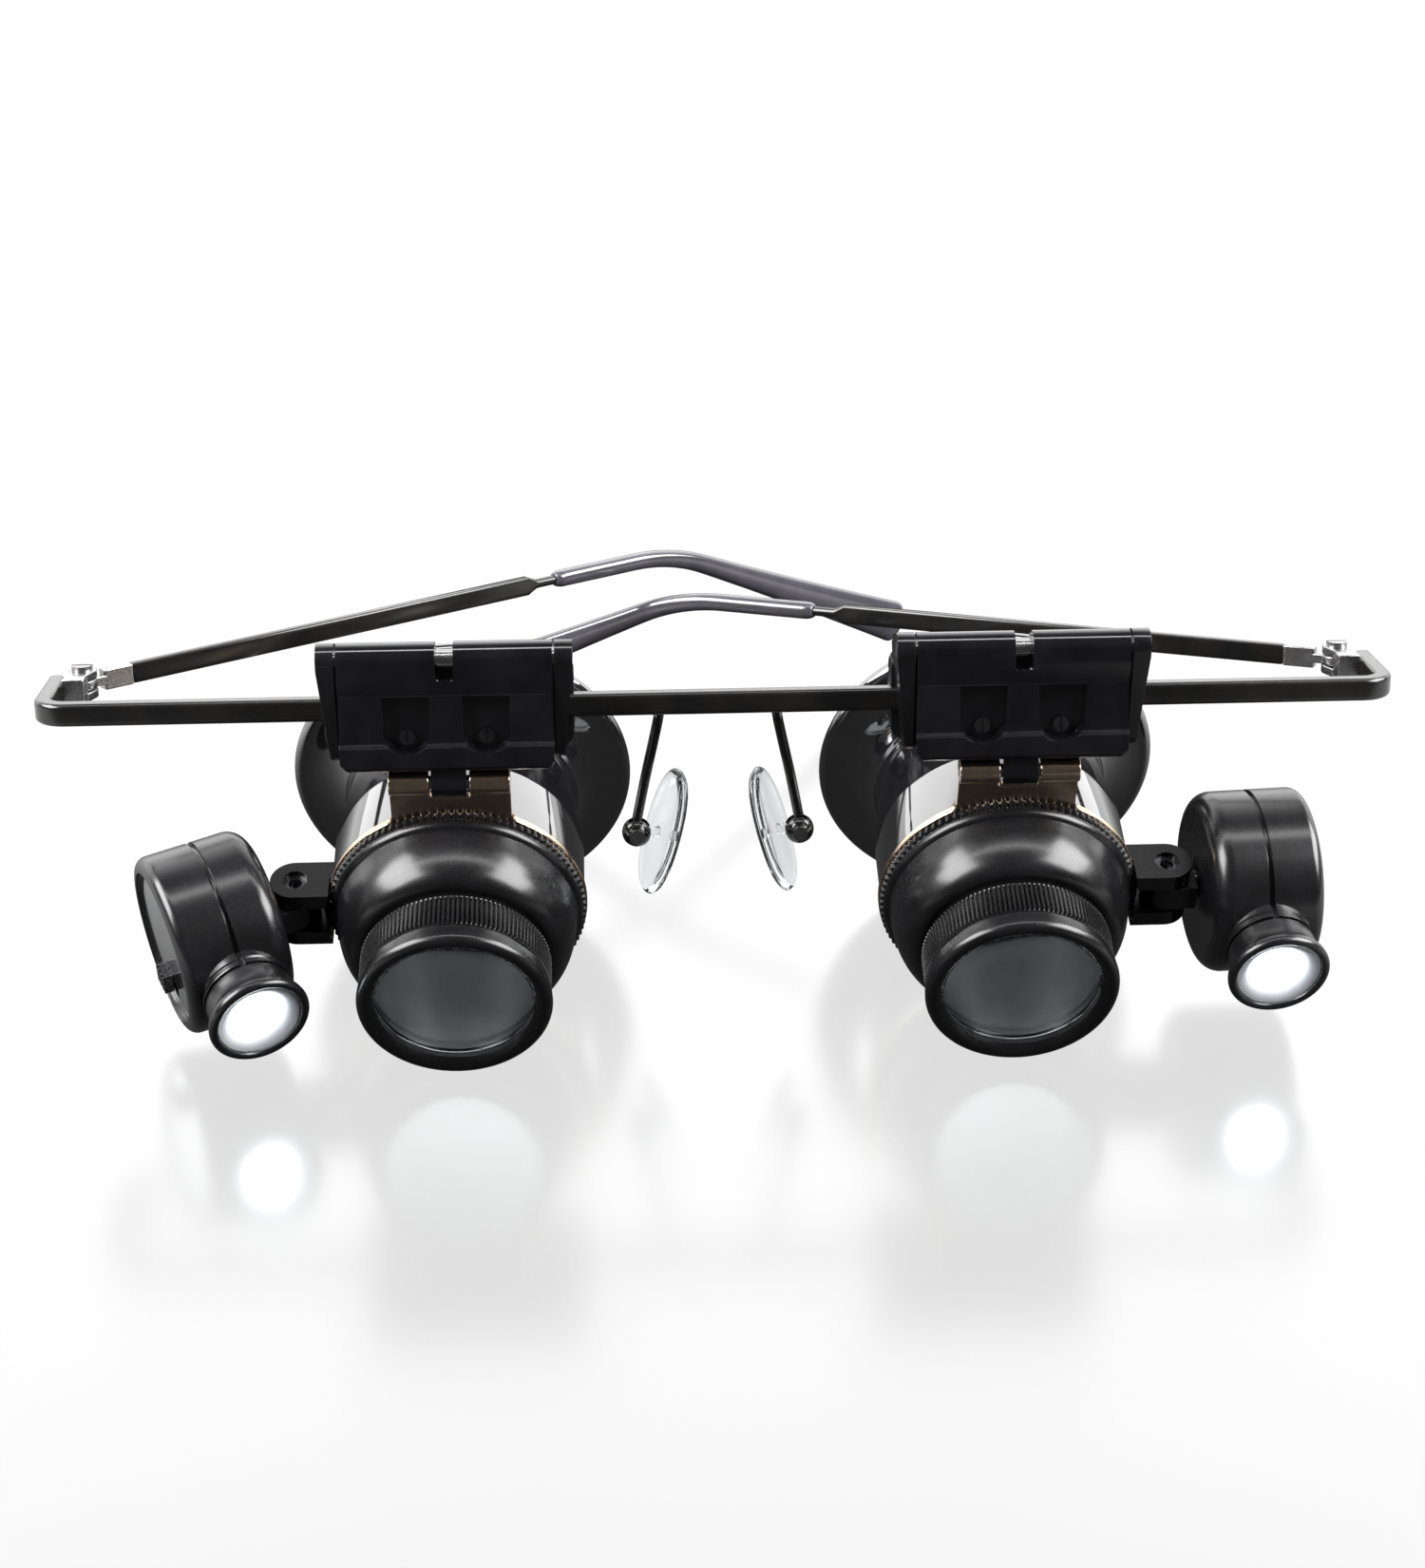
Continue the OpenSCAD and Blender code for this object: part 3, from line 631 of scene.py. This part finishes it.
def hook_ring(d, scale=1.0):
    """Oval section of the tip at a distance along it, before the sleeve's end negative."""
    if d < 0:
        centre, turn = Vector((ROD_END + SLEEVE + d, 0, 0)), 0.0
        height = 2.0
    else:
        bend = min(d, HOOK_R * HOOK_ANGLE)
        turn, rest = bend / HOOK_R, d - min(d, HOOK_R * HOOK_ANGLE)
        centre = Vector((ROD_END + SLEEVE + HOOK_R * math.sin(turn) + rest * math.cos(turn), 0,
                         -HOOK_R * (1 - math.cos(turn)) - rest * math.sin(turn)))
        height = 2 + 3.6 * (d / HOOK_LEN) ** 1.6
    up = Vector((math.sin(turn), 0, math.cos(turn)))
    return [centre + Vector((0, u, 0)) + up * v
            for u, v in oval(TIP_T * scale, height * scale, 2.4, 40)]


def temple_tip(side, place):
    """Sleeve and ear hook: a round start, a slow widening and a rounded end."""
    rings = [hook_ring(-SLEEVE + 1.2 * (1 - math.cos(t)), 0.62 + 0.38 * math.sin(t))
             for t in quarter(6)]
    rings += [hook_ring(d) for d in (-8, -4, -1)]
    rings += [hook_ring((HOOK_LEN - TIP_END) * k / 40) for k in range(41)]
    rings += [hook_ring(HOOK_LEN - TIP_END + TIP_END * math.sin(t), max(math.cos(t), 0.05))
              for t in quarter(8)[1:]]
    piece(f"{side}_ear_hook", loft(rings), place, f"{side}_temple", [f"{side}_temple_tip"],
          LOOK["smoke"])


# ---- Clamps and covers ----

def bar_channel():
    """The room that the bar takes in both clamp halves."""
    y, z = BAR_T / 2 + CHANNEL_GAP, BAR_H / 2 + CHANNEL_GAP
    return prism(rounded(-y, -z, y, z, 0.3), -CUT, CUT, "x")


def clamp(side, place):
    """Front and back half around the bar, with an ear for the flip pin at each side."""
    half, waist = CLAMP_W / 2, CLAMP_W / 2 - 0.45
    plate = [(-half, FLIP_Z - 0.2)]
    corner = 1.5
    plate += arc((-waist + corner, CLAMP_LOW + corner), (corner, corner), 180, 270, 6)
    plate += arc((waist - corner, CLAMP_LOW + corner), (corner, corner), 270, 360, 6)
    plate += [(half, FLIP_Z - 0.2)]
    cheek = half - COVER_W / 2 - 0.2
    ear = arc((FLIP_Y, FLIP_Z), (KNUCKLE_R, KNUCKLE_R), 75, 190, 14)
    ear += arc((FLIP_Y + 1.2, CLAMP_LOW + 1.7), (corner, corner), 190, 270, 6)
    ear += [(-0.6, CLAMP_LOW + 0.2), (-0.6, FLIP_Z + 0.6)]
    solids = [prism(plate, -CLAMP_FRONT, 0, "y")]
    for low in (-half, half - cheek):
        solids.append(prism(ear, low, low + cheek, "x"))
    tools = [bar_channel(), cylinder((FLIP_Y, FLIP_Z), 0.82, -CUT, CUT, "x", 32)]
    for way in (-1, 1):
        taper = [(way * half, 5.5), (way * (half - 1), CLAMP_LOW - 0.1),
                 (way * (half + 2), CLAMP_LOW - 0.1), (way * (half + 2), 5.5)]
        tools.append(prism(taper, -CUT, CUT, "y"))
    piece(f"{side}_clamp_shell", carved(solids, tools), place, f"{side}_clamp",
          [f"{side}_clamp_front"], LOOK["clamp"], 0.28)
    back = prism(rounded(-half, CLAMP_LOW, half, -CLAMP_LOW, 1.6), 0, CLAMP_BACK, "y")
    grip = [prism(rounded(x - 0.35, -3.2, x + 0.35, 3.2, 0.3), 2.85, 4, "y") for x in range(-9, 10, 2)]
    piece(f"{side}_clamp_rear_shell", carved([back], [bar_channel(), *grip]), place, f"{side}_clamp",
          [f"{side}_clamp_back"], LOOK["clamp"], 0.25)


def flip_cover(side, place):
    """Cover with a rolled top edge over the flip pin, two recesses and a thick lower lip."""
    half = COVER_W / 2
    side_view = arc((FLIP_Y, FLIP_Z), (KNUCKLE_R, KNUCKLE_R), 20, 170, 16)
    side_view += arc((FLIP_Y + 4.5, FLIP_Z - 0.4), (6.2, 9), 183, 200, 6)
    side_view += [(-5.75, 3.1), (-6.0, 2.8), (-6.1, -2.1), (-6.55, -2.45)]
    side_view += arc((-5.9, -4.3), (0.7, 0.7), 180, 270, 5)
    side_view += [(-2.9, -5), (-2.9, FLIP_Z + 0.6)]
    body = prism(side_view, -half, half, "x")
    gap = TAB_GAP / 2 - 0.25
    tilt = local_box(f"{side}_flip_cover", place)[0].z / MM + TILT_KNUCKLE_R
    knuckle = carved([cylinder((TILT_Y, tilt), TILT_KNUCKLE_R, -gap, gap, "x", 32),
                      prism(rounded(TILT_Y - 1.2, tilt, TILT_Y + 1.2, tilt + 2.5, 0.2), -gap, gap, "x")])
    notch = prism(rounded(-NOTCH_W / 2, FLIP_Z - 1.9, NOTCH_W / 2, FLIP_Z + 4, 0.3), -12, 0, "y")
    bore = cylinder((FLIP_Y, FLIP_Z), 0.85, -CUT, CUT, "x", 32)
    tools = [notch, bore, cylinder((TILT_Y, tilt), 0.75, -CUT, CUT, "x", 32)]
    for x in (-RECESS_X, RECESS_X):
        recess = arc((x, -0.8), (RECESS_R, RECESS_R), 180, 360, 16)
        recess += [(x + RECESS_R, 2.75), (x - RECESS_R, 2.75)]
        tools.append(prism(recess, -9, -4.8, "y"))
    for x in (-half, half):
        corner = math.copysign(1, x)
        wedge = [(x + corner, -5.6), (x - 1.3 * corner, -5.6),
                 (x + 0.1 * corner, -3.9), (x + corner, -3.9)]
        tools.append(prism(wedge, -9, 0, "y"))
    piece(f"{side}_cover_shell", carved([body, knuckle], tools), place, f"{side}_cover",
          [f"{side}_flip_cover"], LOOK["cover"], 0.3)


# ---- Bracket ----

def bracket(side, place):
    """Gold plate: a ring behind the flange, a neck with hollow fillets and two curls round the tilt pin."""
    outer, inner = FLANGE_R + 0.1, BODY_R - WALL
    half = TAB_GAP / 2 + TAB_W
    fillet = 1.4
    root_x = half + fillet
    root_h = math.sqrt((outer + fillet) ** 2 - root_x ** 2)
    meet = math.degrees(math.atan2(root_h, root_x))
    top = TILT_H - 0.2
    outline = arc((0, 0), (outer, outer), 180 - meet, 360 + meet, 96)
    outline += arc((root_x, root_h), (fillet, fillet), 180 + meet, 180, 8)
    outline += [(half, top), (TAB_GAP / 2, top)]
    corner = 0.4
    outline += arc((TAB_GAP / 2 - corner, NECK_H + corner), (corner, corner), 360, 270, 4)
    outline += arc((corner - TAB_GAP / 2, NECK_H + corner), (corner, corner), 270, 180, 4)
    outline += [(-TAB_GAP / 2, top), (-half, top)]
    outline += arc((-root_x, root_h), (fillet, fillet), 0, -meet, 8)
    hole = cylinder((0, 0), inner, -30, 0, "y", 96)
    solids = [carved([prism(outline, -FLANGE_S, -RING_S, "y")], [hole])]
    pin_y = -(RING_S + FLANGE_S) / 2
    for low in (-half, TAB_GAP / 2):
        roll = arc((pin_y, TILT_H), (CURL_R, CURL_R), 215, -75, 28)
        roll += arc((pin_y, TILT_H), (CURL_HOLE_R, CURL_HOLE_R), -75, 215, 28)
        solids.append(prism(roll, low, low + TAB_W, "x"))
    piece(f"{side}_gold_plate", merged(*solids), place, f"{side}_loupe", [f"{side}_bracket_plate"],
          LOOK["gold"], 0.13)


# ---- Magnifier tubes ----

def eyecup(side, place):
    """Trumpet-shaped tube with a bead on its rim and a fine step where it turns straight."""
    bead = FLARE_R - BEAD_R
    outline = arc((bead, BEAD_R), (BEAD_R, BEAD_R), -150, 75, 20)
    outline += arc((bead - 0.1, WAIST_S), (bead - 0.1 - WAIST_R, WAIST_S - 2 * BEAD_R + 0.1),
                   270, 180, 24)
    outline += [(BODY_R - 0.15, CONE_S - 0.5), (BODY_R, CONE_S), (BODY_R, RING_S),
                (BODY_R - WALL, RING_S), (BODY_R - WALL, CONE_S)]
    outline += arc((bead - 0.3, WAIST_S + 1), (bead - WAIST_R + WALL - 0.3, WAIST_S - 0.3),
                   180, 262, 20)
    piece(f"{side}_eyecup_shell", turned(outline), place, f"{side}_loupe", [f"{side}_eyecup"],
          LOOK["eyecup"])


def barrel(side, place):
    """Toothed flange and domed shoulder."""
    steps = TEETH * 6
    spigot, dome_from = BODY_R - WALL - 0.1, FLANGE_S + 2.05
    outline = [(10.7, 15.5), (spigot, 15.5), (spigot, FLANGE_S), (FLANGE_R - 0.2, FLANGE_S),
               (FLANGE_R, FLANGE_S + 0.2), (FLANGE_R, FLANGE_S + 0.8), (FLANGE_R - 0.3, FLANGE_S + 0.95)]
    toothed = {4, 5}
    outline += arc((FLANGE_R - 1.15, FLANGE_S + 1.0), (0.85, 0.85), 0, 70, 8)
    outline += arc((SHOULDER_R, dome_from), (FLANGE_R - 1.0 - SHOULDER_R, DOME_S - dome_from), 8, 90, 20)
    outline += [(BORE_R, DOME_S), (BORE_R, 23.2), (10.7, 23.2)]

    def tooth(index, turn):
        return -TOOTH_DEPTH * (0.5 + 0.5 * math.cos(TEETH * turn)) ** 1.5 if index in toothed else 0.0

    piece(f"{side}_barrel_shell", turned(outline, steps, tooth), place, f"{side}_loupe",
          [f"{side}_barrel"], LOOK["tube"])


def focus_ring(side, place):
    """Knurled band, a groove and a rolled front lip."""
    steps = KNURLS * 5
    outline = [(BORE_R, CELL_S), (CELL_R - 0.5, CELL_S), (CELL_R - 0.2, CELL_S + 0.2),
               (CELL_R - 0.1, CELL_S + 0.45), (CELL_R - 0.1, CELL_S + 3.75), (CELL_R - 0.35, CELL_S + 3.95),
               (CELL_R - 0.5, CELL_S + 4.05), (CELL_R - 0.5, CELL_S + 4.3), (CELL_R - 0.1, CELL_S + 4.6)]
    ribbed = {3, 4}
    outline += arc((CELL_R - LIP_R, LOUPE_LEN - LIP_R), (LIP_R, LIP_R), 0, 90, 10)
    outline += [(OPENING_R + 0.75, LOUPE_LEN - 0.05), (OPENING_R + 0.3, LOUPE_LEN - 0.35),
                (OPENING_R, LOUPE_LEN - LIP_T), (BORE_R, LOUPE_LEN - LIP_T)]

    def rib(index, turn):
        return -KNURL_DEPTH * (0.5 + 0.5 * math.cos(KNURLS * turn)) if index in ribbed else 0.0

    piece(f"{side}_focus_grip", turned(outline, steps, rib), place, f"{side}_ring",
          [f"{side}_focus_ring"], LOOK["tube"])


def lens(radius, back, rim, crown, chamfer):
    """Plano-convex lens with a chamfered edge."""
    outline = [(0, back), (radius - chamfer, back), (radius, back + 0.1), (radius, rim - 0.1)]
    outline += [(radius * (1 - k / 24), rim + crown * (1 - (1 - k / 24) ** 2)) for k in range(25)]
    return turned(outline)


def lenses(side, place):
    piece(f"{side}_objective", lens(*FRONT_LENS, 0.05), place, f"{side}_lens_cell",
          [f"{side}_front_lens"], LOOK["glass"])
    piece(f"{side}_eyepiece", lens(*EYE_LENS, 0.1), place, f"{side}_loupe", [f"{side}_eye_lens"],
          LOOK["glass"])
    inner, outer = FRONT_LENS[0] + 0.05, BORE_R - 0.1
    sleeve = [(inner, 24), (outer - 0.05, 24), (outer, 24.1), (outer, 35.3), (outer - 0.05, 35.4),
              (inner, 35.4)]
    piece(f"{side}_threaded_sleeve", turned(sleeve), place, f"{side}_lens_cell",
          [f"{side}_lens_sleeve"], LOOK["sleeve"])


# ---- Lamp brackets and lamps ----

def lamp_bracket(side, place):
    """Saddle on the eyecup with two leaves round the swivel pin."""
    way = SIDES[side]
    leaf_h = CLEVIS_H / 2 - TONGUE_H / 2 - 0.2
    solids = []
    for low in (-CLEVIS_H / 2, TONGUE_H / 2 + 0.2):
        outline = arc((SWIVEL_X, -SWIVEL_S), (CLEVIS_R, CLEVIS_R), -90, 90, 20)
        outline += [(12.5, CLEVIS_R - SWIVEL_S), (12.5, -CLEVIS_R - SWIVEL_S)]
        solids.append(prism(outline, low, low + leaf_h, "z"))
    near, far = 0.1 - RING_S, 2.5 - RING_S
    saddle = [(12.2, near), (14.2, near), (14.2, far), (12.2, far)]
    solids.append(prism(saddle, -CLEVIS_H / 2, CLEVIS_H / 2, "z"))
    tools = [cylinder((0, 0), BODY_R, -40, 10, "y", 128),
             moved(cylinder((0, 0), FLANGE_R + 0.25, -12, 0, "y", 128), shift(y=-RING_S + 0.1)),
             cylinder((SWIVEL_X, -SWIVEL_S), 1.3, -10, 10, "z", 32)]
    bm = carved(solids, tools)
    if way < 0:
        bm = mirrored(bm)
    piece(f"{side}_clevis", bm, place, f"{side}_loupe", [f"{side}_lamp_bracket"], LOOK["lamp"], 0.2)


def lamp_yoke(side, place):
    root = CASE_GAP - 0.3
    outline = arc((0, 0), (TONGUE_R, TONGUE_R), 90, 270, 20) + [(root, -TONGUE_R), (root, TONGUE_R)]
    tongue = carved([prism(outline, -TONGUE_H / 2, TONGUE_H / 2, "z")],
                    [cylinder((0, 0), 1.36, -5, 5, "z", 32)])
    shaft = turned([(0, 2.6), (1.4, 2.6), (1.4, 4.9), (2.3, 4.9), (2.3, 5.3), (2.1, 5.4), (0, 5.4)],
                   40, axis="x")
    piece(f"{side}_lamp_tongue", merged(tongue, shaft), place, f"{side}_lamp_arm",
          [f"{side}_lamp_yoke"], LOOK["lamp"], 0.15)


def lamp_case(side, place):
    """Two rounded half shells whose parting groove runs on down the neck."""
    split, outer = CASE_GAP + CASE_W / 2, CASE_GAP + CASE_W
    floor = CASE_GAP + SHELL_T
    inner_shell = [(1.45, CASE_GAP), (6.2, CASE_GAP)]
    inner_shell += arc((CASE_R - 2.1, CASE_GAP + 2.1), (2.1, 2.1), -90, 0, 10)
    inner_shell += [(CASE_R, split), (SHELL_R, split), (SHELL_R, floor), (1.45, floor)]
    outer_shell = [(SHELL_R, split), (CASE_R, split)]
    outer_shell += arc((CASE_R - 1.2, outer - 1.2), (1.2, 1.2), 0, 90, 8)
    outer_shell += [(FACE_R + 0.05, outer), (FACE_R, outer - 0.2), (FACE_R, outer - 1.6),
                    (SHELL_R, outer - 1.8)]
    halves = (("inner", inner_shell, floor, outer + 2, (split, FAR)),
              ("outer", outer_shell, CASE_GAP, outer - 1.8, (-FAR, split)))
    for name, outline, hollow_from, hollow_to, beyond in halves:
        neck = [(0, 6), (NECK_R, 6), (NECK_R, 9.3), (NECK_R - 0.15, 9.45), (NECK_R - 0.15, 9.7),
                (NECK_R, 9.85), (NECK_R, 10.15), (0, 10.15)]
        slab = prism(rounded(-CUT, -CUT, CUT, CUT, 1), split - 0.28, split + 0.28, "x")
        groove = carved([slab], [cylinder((0, 0), CASE_R - 0.55, 0, FAR, "x", 96),
                                 moved(cylinder((0, 0), NECK_R - 0.5, -CUT, 0, "y", 64), shift(x=split))])
        tools = [prism(rounded(-CUT, -CUT, CUT, CUT, 1), *beyond, "x"),
                 cylinder((0, 0), SHELL_R + 0.05, hollow_from, hollow_to, "x", 64),
                 moved(cylinder((0, 0), LED_R + 0.1, -CUT, 0, "y", 40), shift(x=split)), groove]
        solids = [turned(outline, 96, axis="x"), moved(turned(neck, 64), shift(x=split))]
        piece(f"{side}_case_{name}_shell", carved(solids, tools), place, f"{side}_lamp",
              [f"{side}_case_{name}"], LOOK["lamp"], 0.14)


def lamp_hood(side, place):
    """Bell on the neck with a thick soft rim, a bright bowl and the LED in it."""
    split = CASE_GAP + CASE_W / 2
    rim = NOSE_LEN - 0.6
    outline = [(2.6, 9.9), (4.2, 10.1), (4.2, 10.35), (4.55, 10.5), (NECK_R, 11.0)]
    outline += [(NECK_R + 0.6 * (1 - math.cos(t)), 11.0 + (rim - 11.5) * math.sin(t))
                for t in quarter(8)[1:]]
    outline += arc((HOOD_R - 0.5, rim), (0.5, 0.6), -20, 140, 14)
    mouth_r, mouth_s, foot_s = HOOD_R - 0.95, NOSE_LEN - 0.45, NOSE_LEN - 2.5
    curve = [(mouth_r - (mouth_r - 2.6) * math.sin(t), foot_s + (mouth_s - foot_s) * math.cos(t))
             for t in quarter(10)]
    outline += [(r, s - 0.12) for r, s in curve]
    piece(f"{side}_hood_bell", moved(turned(outline, 96), shift(x=split)), place, f"{side}_lamp",
          [f"{side}_lamp_hood"], LOOK["lamp"])
    bowl = [(r, s - 0.1) for r, s in curve] + [(r - 0.02, s) for r, s in reversed(curve)]
    piece(f"{side}_hood_bowl", moved(turned(bowl, 96), shift(x=split)), place, f"{side}_lamp",
          [f"{side}_lamp_hood"], LOOK["bowl"])
    led_s = NOSE_LEN - 2.6
    dome = [(0, 9.8), (LED_R, 9.8), (LED_R, led_s)]
    dome += [(LED_R * math.cos(t), led_s + 2.1 * math.sin(t)) for t in quarter(12)[1:]]
    leg = [(0, 8.6), (0.3, 8.6), (0.3, 10), (0, 10)]
    legs = [moved(turned(leg, 16), shift(x=split + x)) for x in (-1.27, 1.27)]
    piece(f"{side}_led_bulb", merged(moved(turned(dome, 64), shift(x=split)), *legs), place,
          f"{side}_lamp", [f"{side}_led"], LOOK["led"])


def lamp_face(side, place):
    """Bright pressed disc with a slot, and the ribbed switch in it."""
    face = CASE_GAP + CASE_W - 0.4
    outline = [(0, face - 0.7), (FACE_R - 0.05, face - 0.7), (FACE_R, face - 0.45)]
    outline += [(FACE_R - 0.35 * k, face - 0.25 + 0.25 * math.sin(t)) for k, t in enumerate(quarter(4))]
    outline += [(0, face)]
    slot = prism(rounded(-2.7, -5.4, 1.1, -3.8, 0.3), face - 3, face + 3, "x")
    piece(f"{side}_silver_face", carved([turned(outline, 96, axis="x")], [slot]), place,
          f"{side}_lamp", [f"{side}_lamp_cover"], LOOK["silver"], 0.08, 2)
    low = CASE_GAP + CASE_W - 0.35
    knob = prism(rounded(-1.1, -5.8, 1.5, -3.4, 0.35), low, low + 1.0, "x")
    ribs = [prism(rounded(y - 0.15, -6.5, y + 0.15, -2.5, 0.1), low + 0.75, low + 2, "x")
            for y in (-0.55, 0.2, 0.95)]
    stem = prism(rounded(-0.4, -5.2, 0.8, -4.0, 0.1), low - 1.15, low + 0.05, "x")
    piece(f"{side}_switch_knob", merged(carved([knob], ribs), stem), place, f"{side}_slider",
          [f"{side}_switch"], LOOK["lamp"], 0.08, 2)


# ---- Floor, light and camera ----

def pale_floor():
    """White paper floor with a faint blurred gloss, kept from glaring into the black parts."""
    mat = bpy.data.materials.new("pale_floor")
    mat.use_nodes = True
    nodes, links = mat.node_tree.nodes, mat.node_tree.links
    nodes.clear()
    white = nodes.new("ShaderNodeEmission")
    white.inputs["Strength"].default_value = FLOOR_WHITE
    gloss = nodes.new("ShaderNodeBsdfGlossy")
    gloss.inputs["Roughness"].default_value = 0.2
    seen = nodes.new("ShaderNodeMixShader")
    seen.inputs["Fac"].default_value = FLOOR_GLOSS
    # what the floor bounces: more at both sides of the loupes, little under and before them
    coords = nodes.new("ShaderNodeTexCoord")
    split = nodes.new("ShaderNodeSeparateXYZ")
    links.new(coords.outputs["Object"], split.inputs["Vector"])
    away = nodes.new("ShaderNodeMath")
    away.operation = "ABSOLUTE"
    links.new(split.outputs["X"], away.inputs[0])
    sides = nodes.new("ShaderNodeMapRange")
    sides.interpolation_type = "SMOOTHSTEP"
    sides.inputs["From Min"].default_value = 0.045
    sides.inputs["From Max"].default_value = 0.13
    sides.inputs["To Max"].default_value = SIDE_BOUNCE
    links.new(away.outputs["Value"], sides.inputs["Value"])
    beside = nodes.new("ShaderNodeMapRange")
    beside.interpolation_type = "SMOOTHSTEP"
    beside.inputs["From Min"].default_value = -0.3
    beside.inputs["From Max"].default_value = -0.12
    links.new(split.outputs["Y"], beside.inputs["Value"])
    bounce = nodes.new("ShaderNodeMath")
    bounce.operation = "MULTIPLY_ADD"
    bounce.inputs[2].default_value = FLOOR_BOUNCE
    links.new(sides.outputs["Result"], bounce.inputs[0])
    links.new(beside.outputs["Result"], bounce.inputs[1])
    dim = nodes.new("ShaderNodeEmission")
    links.new(bounce.outputs["Value"], dim.inputs["Strength"])
    path = nodes.new("ShaderNodeLightPath")
    direct = nodes.new("ShaderNodeMath")
    direct.operation = "MAXIMUM"
    links.new(path.outputs["Is Camera Ray"], direct.inputs[0])
    links.new(path.outputs["Is Transmission Ray"], direct.inputs[1])
    either = nodes.new("ShaderNodeMixShader")
    out = nodes.new("ShaderNodeOutputMaterial")
    links.new(white.outputs["Emission"], seen.inputs[1])
    links.new(gloss.outputs["BSDF"], seen.inputs[2])
    links.new(direct.outputs["Value"], either.inputs["Fac"])
    links.new(dim.outputs["Emission"], either.inputs[1])
    links.new(seen.outputs["Shader"], either.inputs[2])
    links.new(either.outputs["Shader"], out.inputs["Surface"])
    return mat


def sky():
    """Dark studio with a bright wall low down behind the loupes."""
    world = bpy.data.worlds.new("studio")
    bpy.context.scene.world = world
    world.use_nodes = True
    nodes, links = world.node_tree.nodes, world.node_tree.links
    coords = nodes.new("ShaderNodeTexCoord")
    split = nodes.new("ShaderNodeSeparateXYZ")
    links.new(coords.outputs["Generated"], split.inputs["Vector"])
    steps = []
    for axis, start, end in (("Y", 0.25, 0.6), ("Z", 0.95, 0.5)):
        ramp = nodes.new("ShaderNodeMapRange")
        ramp.interpolation_type = "SMOOTHSTEP"
        ramp.inputs["From Min"].default_value = start
        ramp.inputs["From Max"].default_value = end
        links.new(split.outputs[axis], ramp.inputs["Value"])
        steps.append(ramp)
    both = nodes.new("ShaderNodeMath")
    both.operation = "MULTIPLY"
    wall = nodes.new("ShaderNodeMath")
    wall.operation = "MULTIPLY_ADD"
    wall.inputs[1].default_value = WALL_LIGHT
    wall.inputs[2].default_value = ROOM_LIGHT
    for i, ramp in enumerate(steps):
        links.new(ramp.outputs["Result"], both.inputs[i])
    links.new(both.outputs["Value"], wall.inputs[0])
    links.new(wall.outputs["Value"], nodes["Background"].inputs["Strength"])
    nodes["Background"].inputs["Color"].default_value = (1, 1, 1, 1)


def studio():
    floor = as_object(prism([(-3, -3), (3, -3), (3, 3), (-3, 3)], -0.02, 0, "z"), "floor")
    floor.data.materials.append(pale_floor())
    sky()
    for name, (at, size, watts) in SOFTBOXES.items():
        light = bpy.data.lights.new(name, "AREA")
        light.shape = "RECTANGLE"
        light.size, light.size_y = size
        light.energy = watts
        obj = bpy.data.objects.new(name, light)
        obj.location = at
        obj.rotation_euler = (-Vector(at)).to_track_quat("-Z", "Y").to_euler()
        bpy.context.scene.collection.objects.link(obj)


def camera():
    """Eye 0.33 m away, looking down on the loupes from just left of the middle."""
    data = bpy.data.cameras.new("camera")
    data.lens = CAMERA_LENS
    data.clip_start = 0.01
    obj = bpy.data.objects.new("camera", data)
    obj.location = CAMERA_AT
    yaw, down, roll = (math.radians(angle) for angle in (CAMERA_YAW, CAMERA_DOWN, CAMERA_ROLL))
    obj.rotation_euler = (math.pi / 2 - down, roll, -yaw)
    bpy.context.scene.collection.objects.link(obj)
    bpy.context.scene.camera = obj
    bpy.context.scene.view_settings.view_transform = "Standard"


def paint(look, *nodes):
    """A CAD node that stays takes its finish."""
    for node in nodes:
        frame["nodes"][node].data.materials.clear()
        frame["nodes"][node].data.materials.append(LOOK[look])


camera()
studio()
front_bar()
nose_arms()
frame_hinges()
paint("nickel", "nose_screws", "hinge_screws")
for name in SIDES:
    temple = temple_axes(name)
    temple_hinge(name, temple)
    temple_rod(name, temple)
    temple_tip(name, temple)
    nose_pad(name)

    on_bar = FRAME_PLACE @ shift(x=anchor(f"{name}_loupe_tilt").x)
    clamp(name, on_bar)
    flip_cover(name, on_bar)

    loupe = loupe_axes(name)
    bracket(name, loupe)
    eyecup(name, loupe)
    barrel(name, loupe)
    focus_ring(name, loupe)
    lenses(name, loupe)
    lamp_bracket(name, loupe)

    lamp = lamp_axes(name)
    lamp_yoke(name, lamp)
    lamp_case(name, lamp)
    lamp_hood(name, lamp)
    lamp_face(name, lamp)

    paint("nickel", f"{name}_flip_pin", f"{name}_tilt_pin", f"{name}_cells")
    paint("screw", f"{name}_cover_screws", f"{name}_swivel_pin")
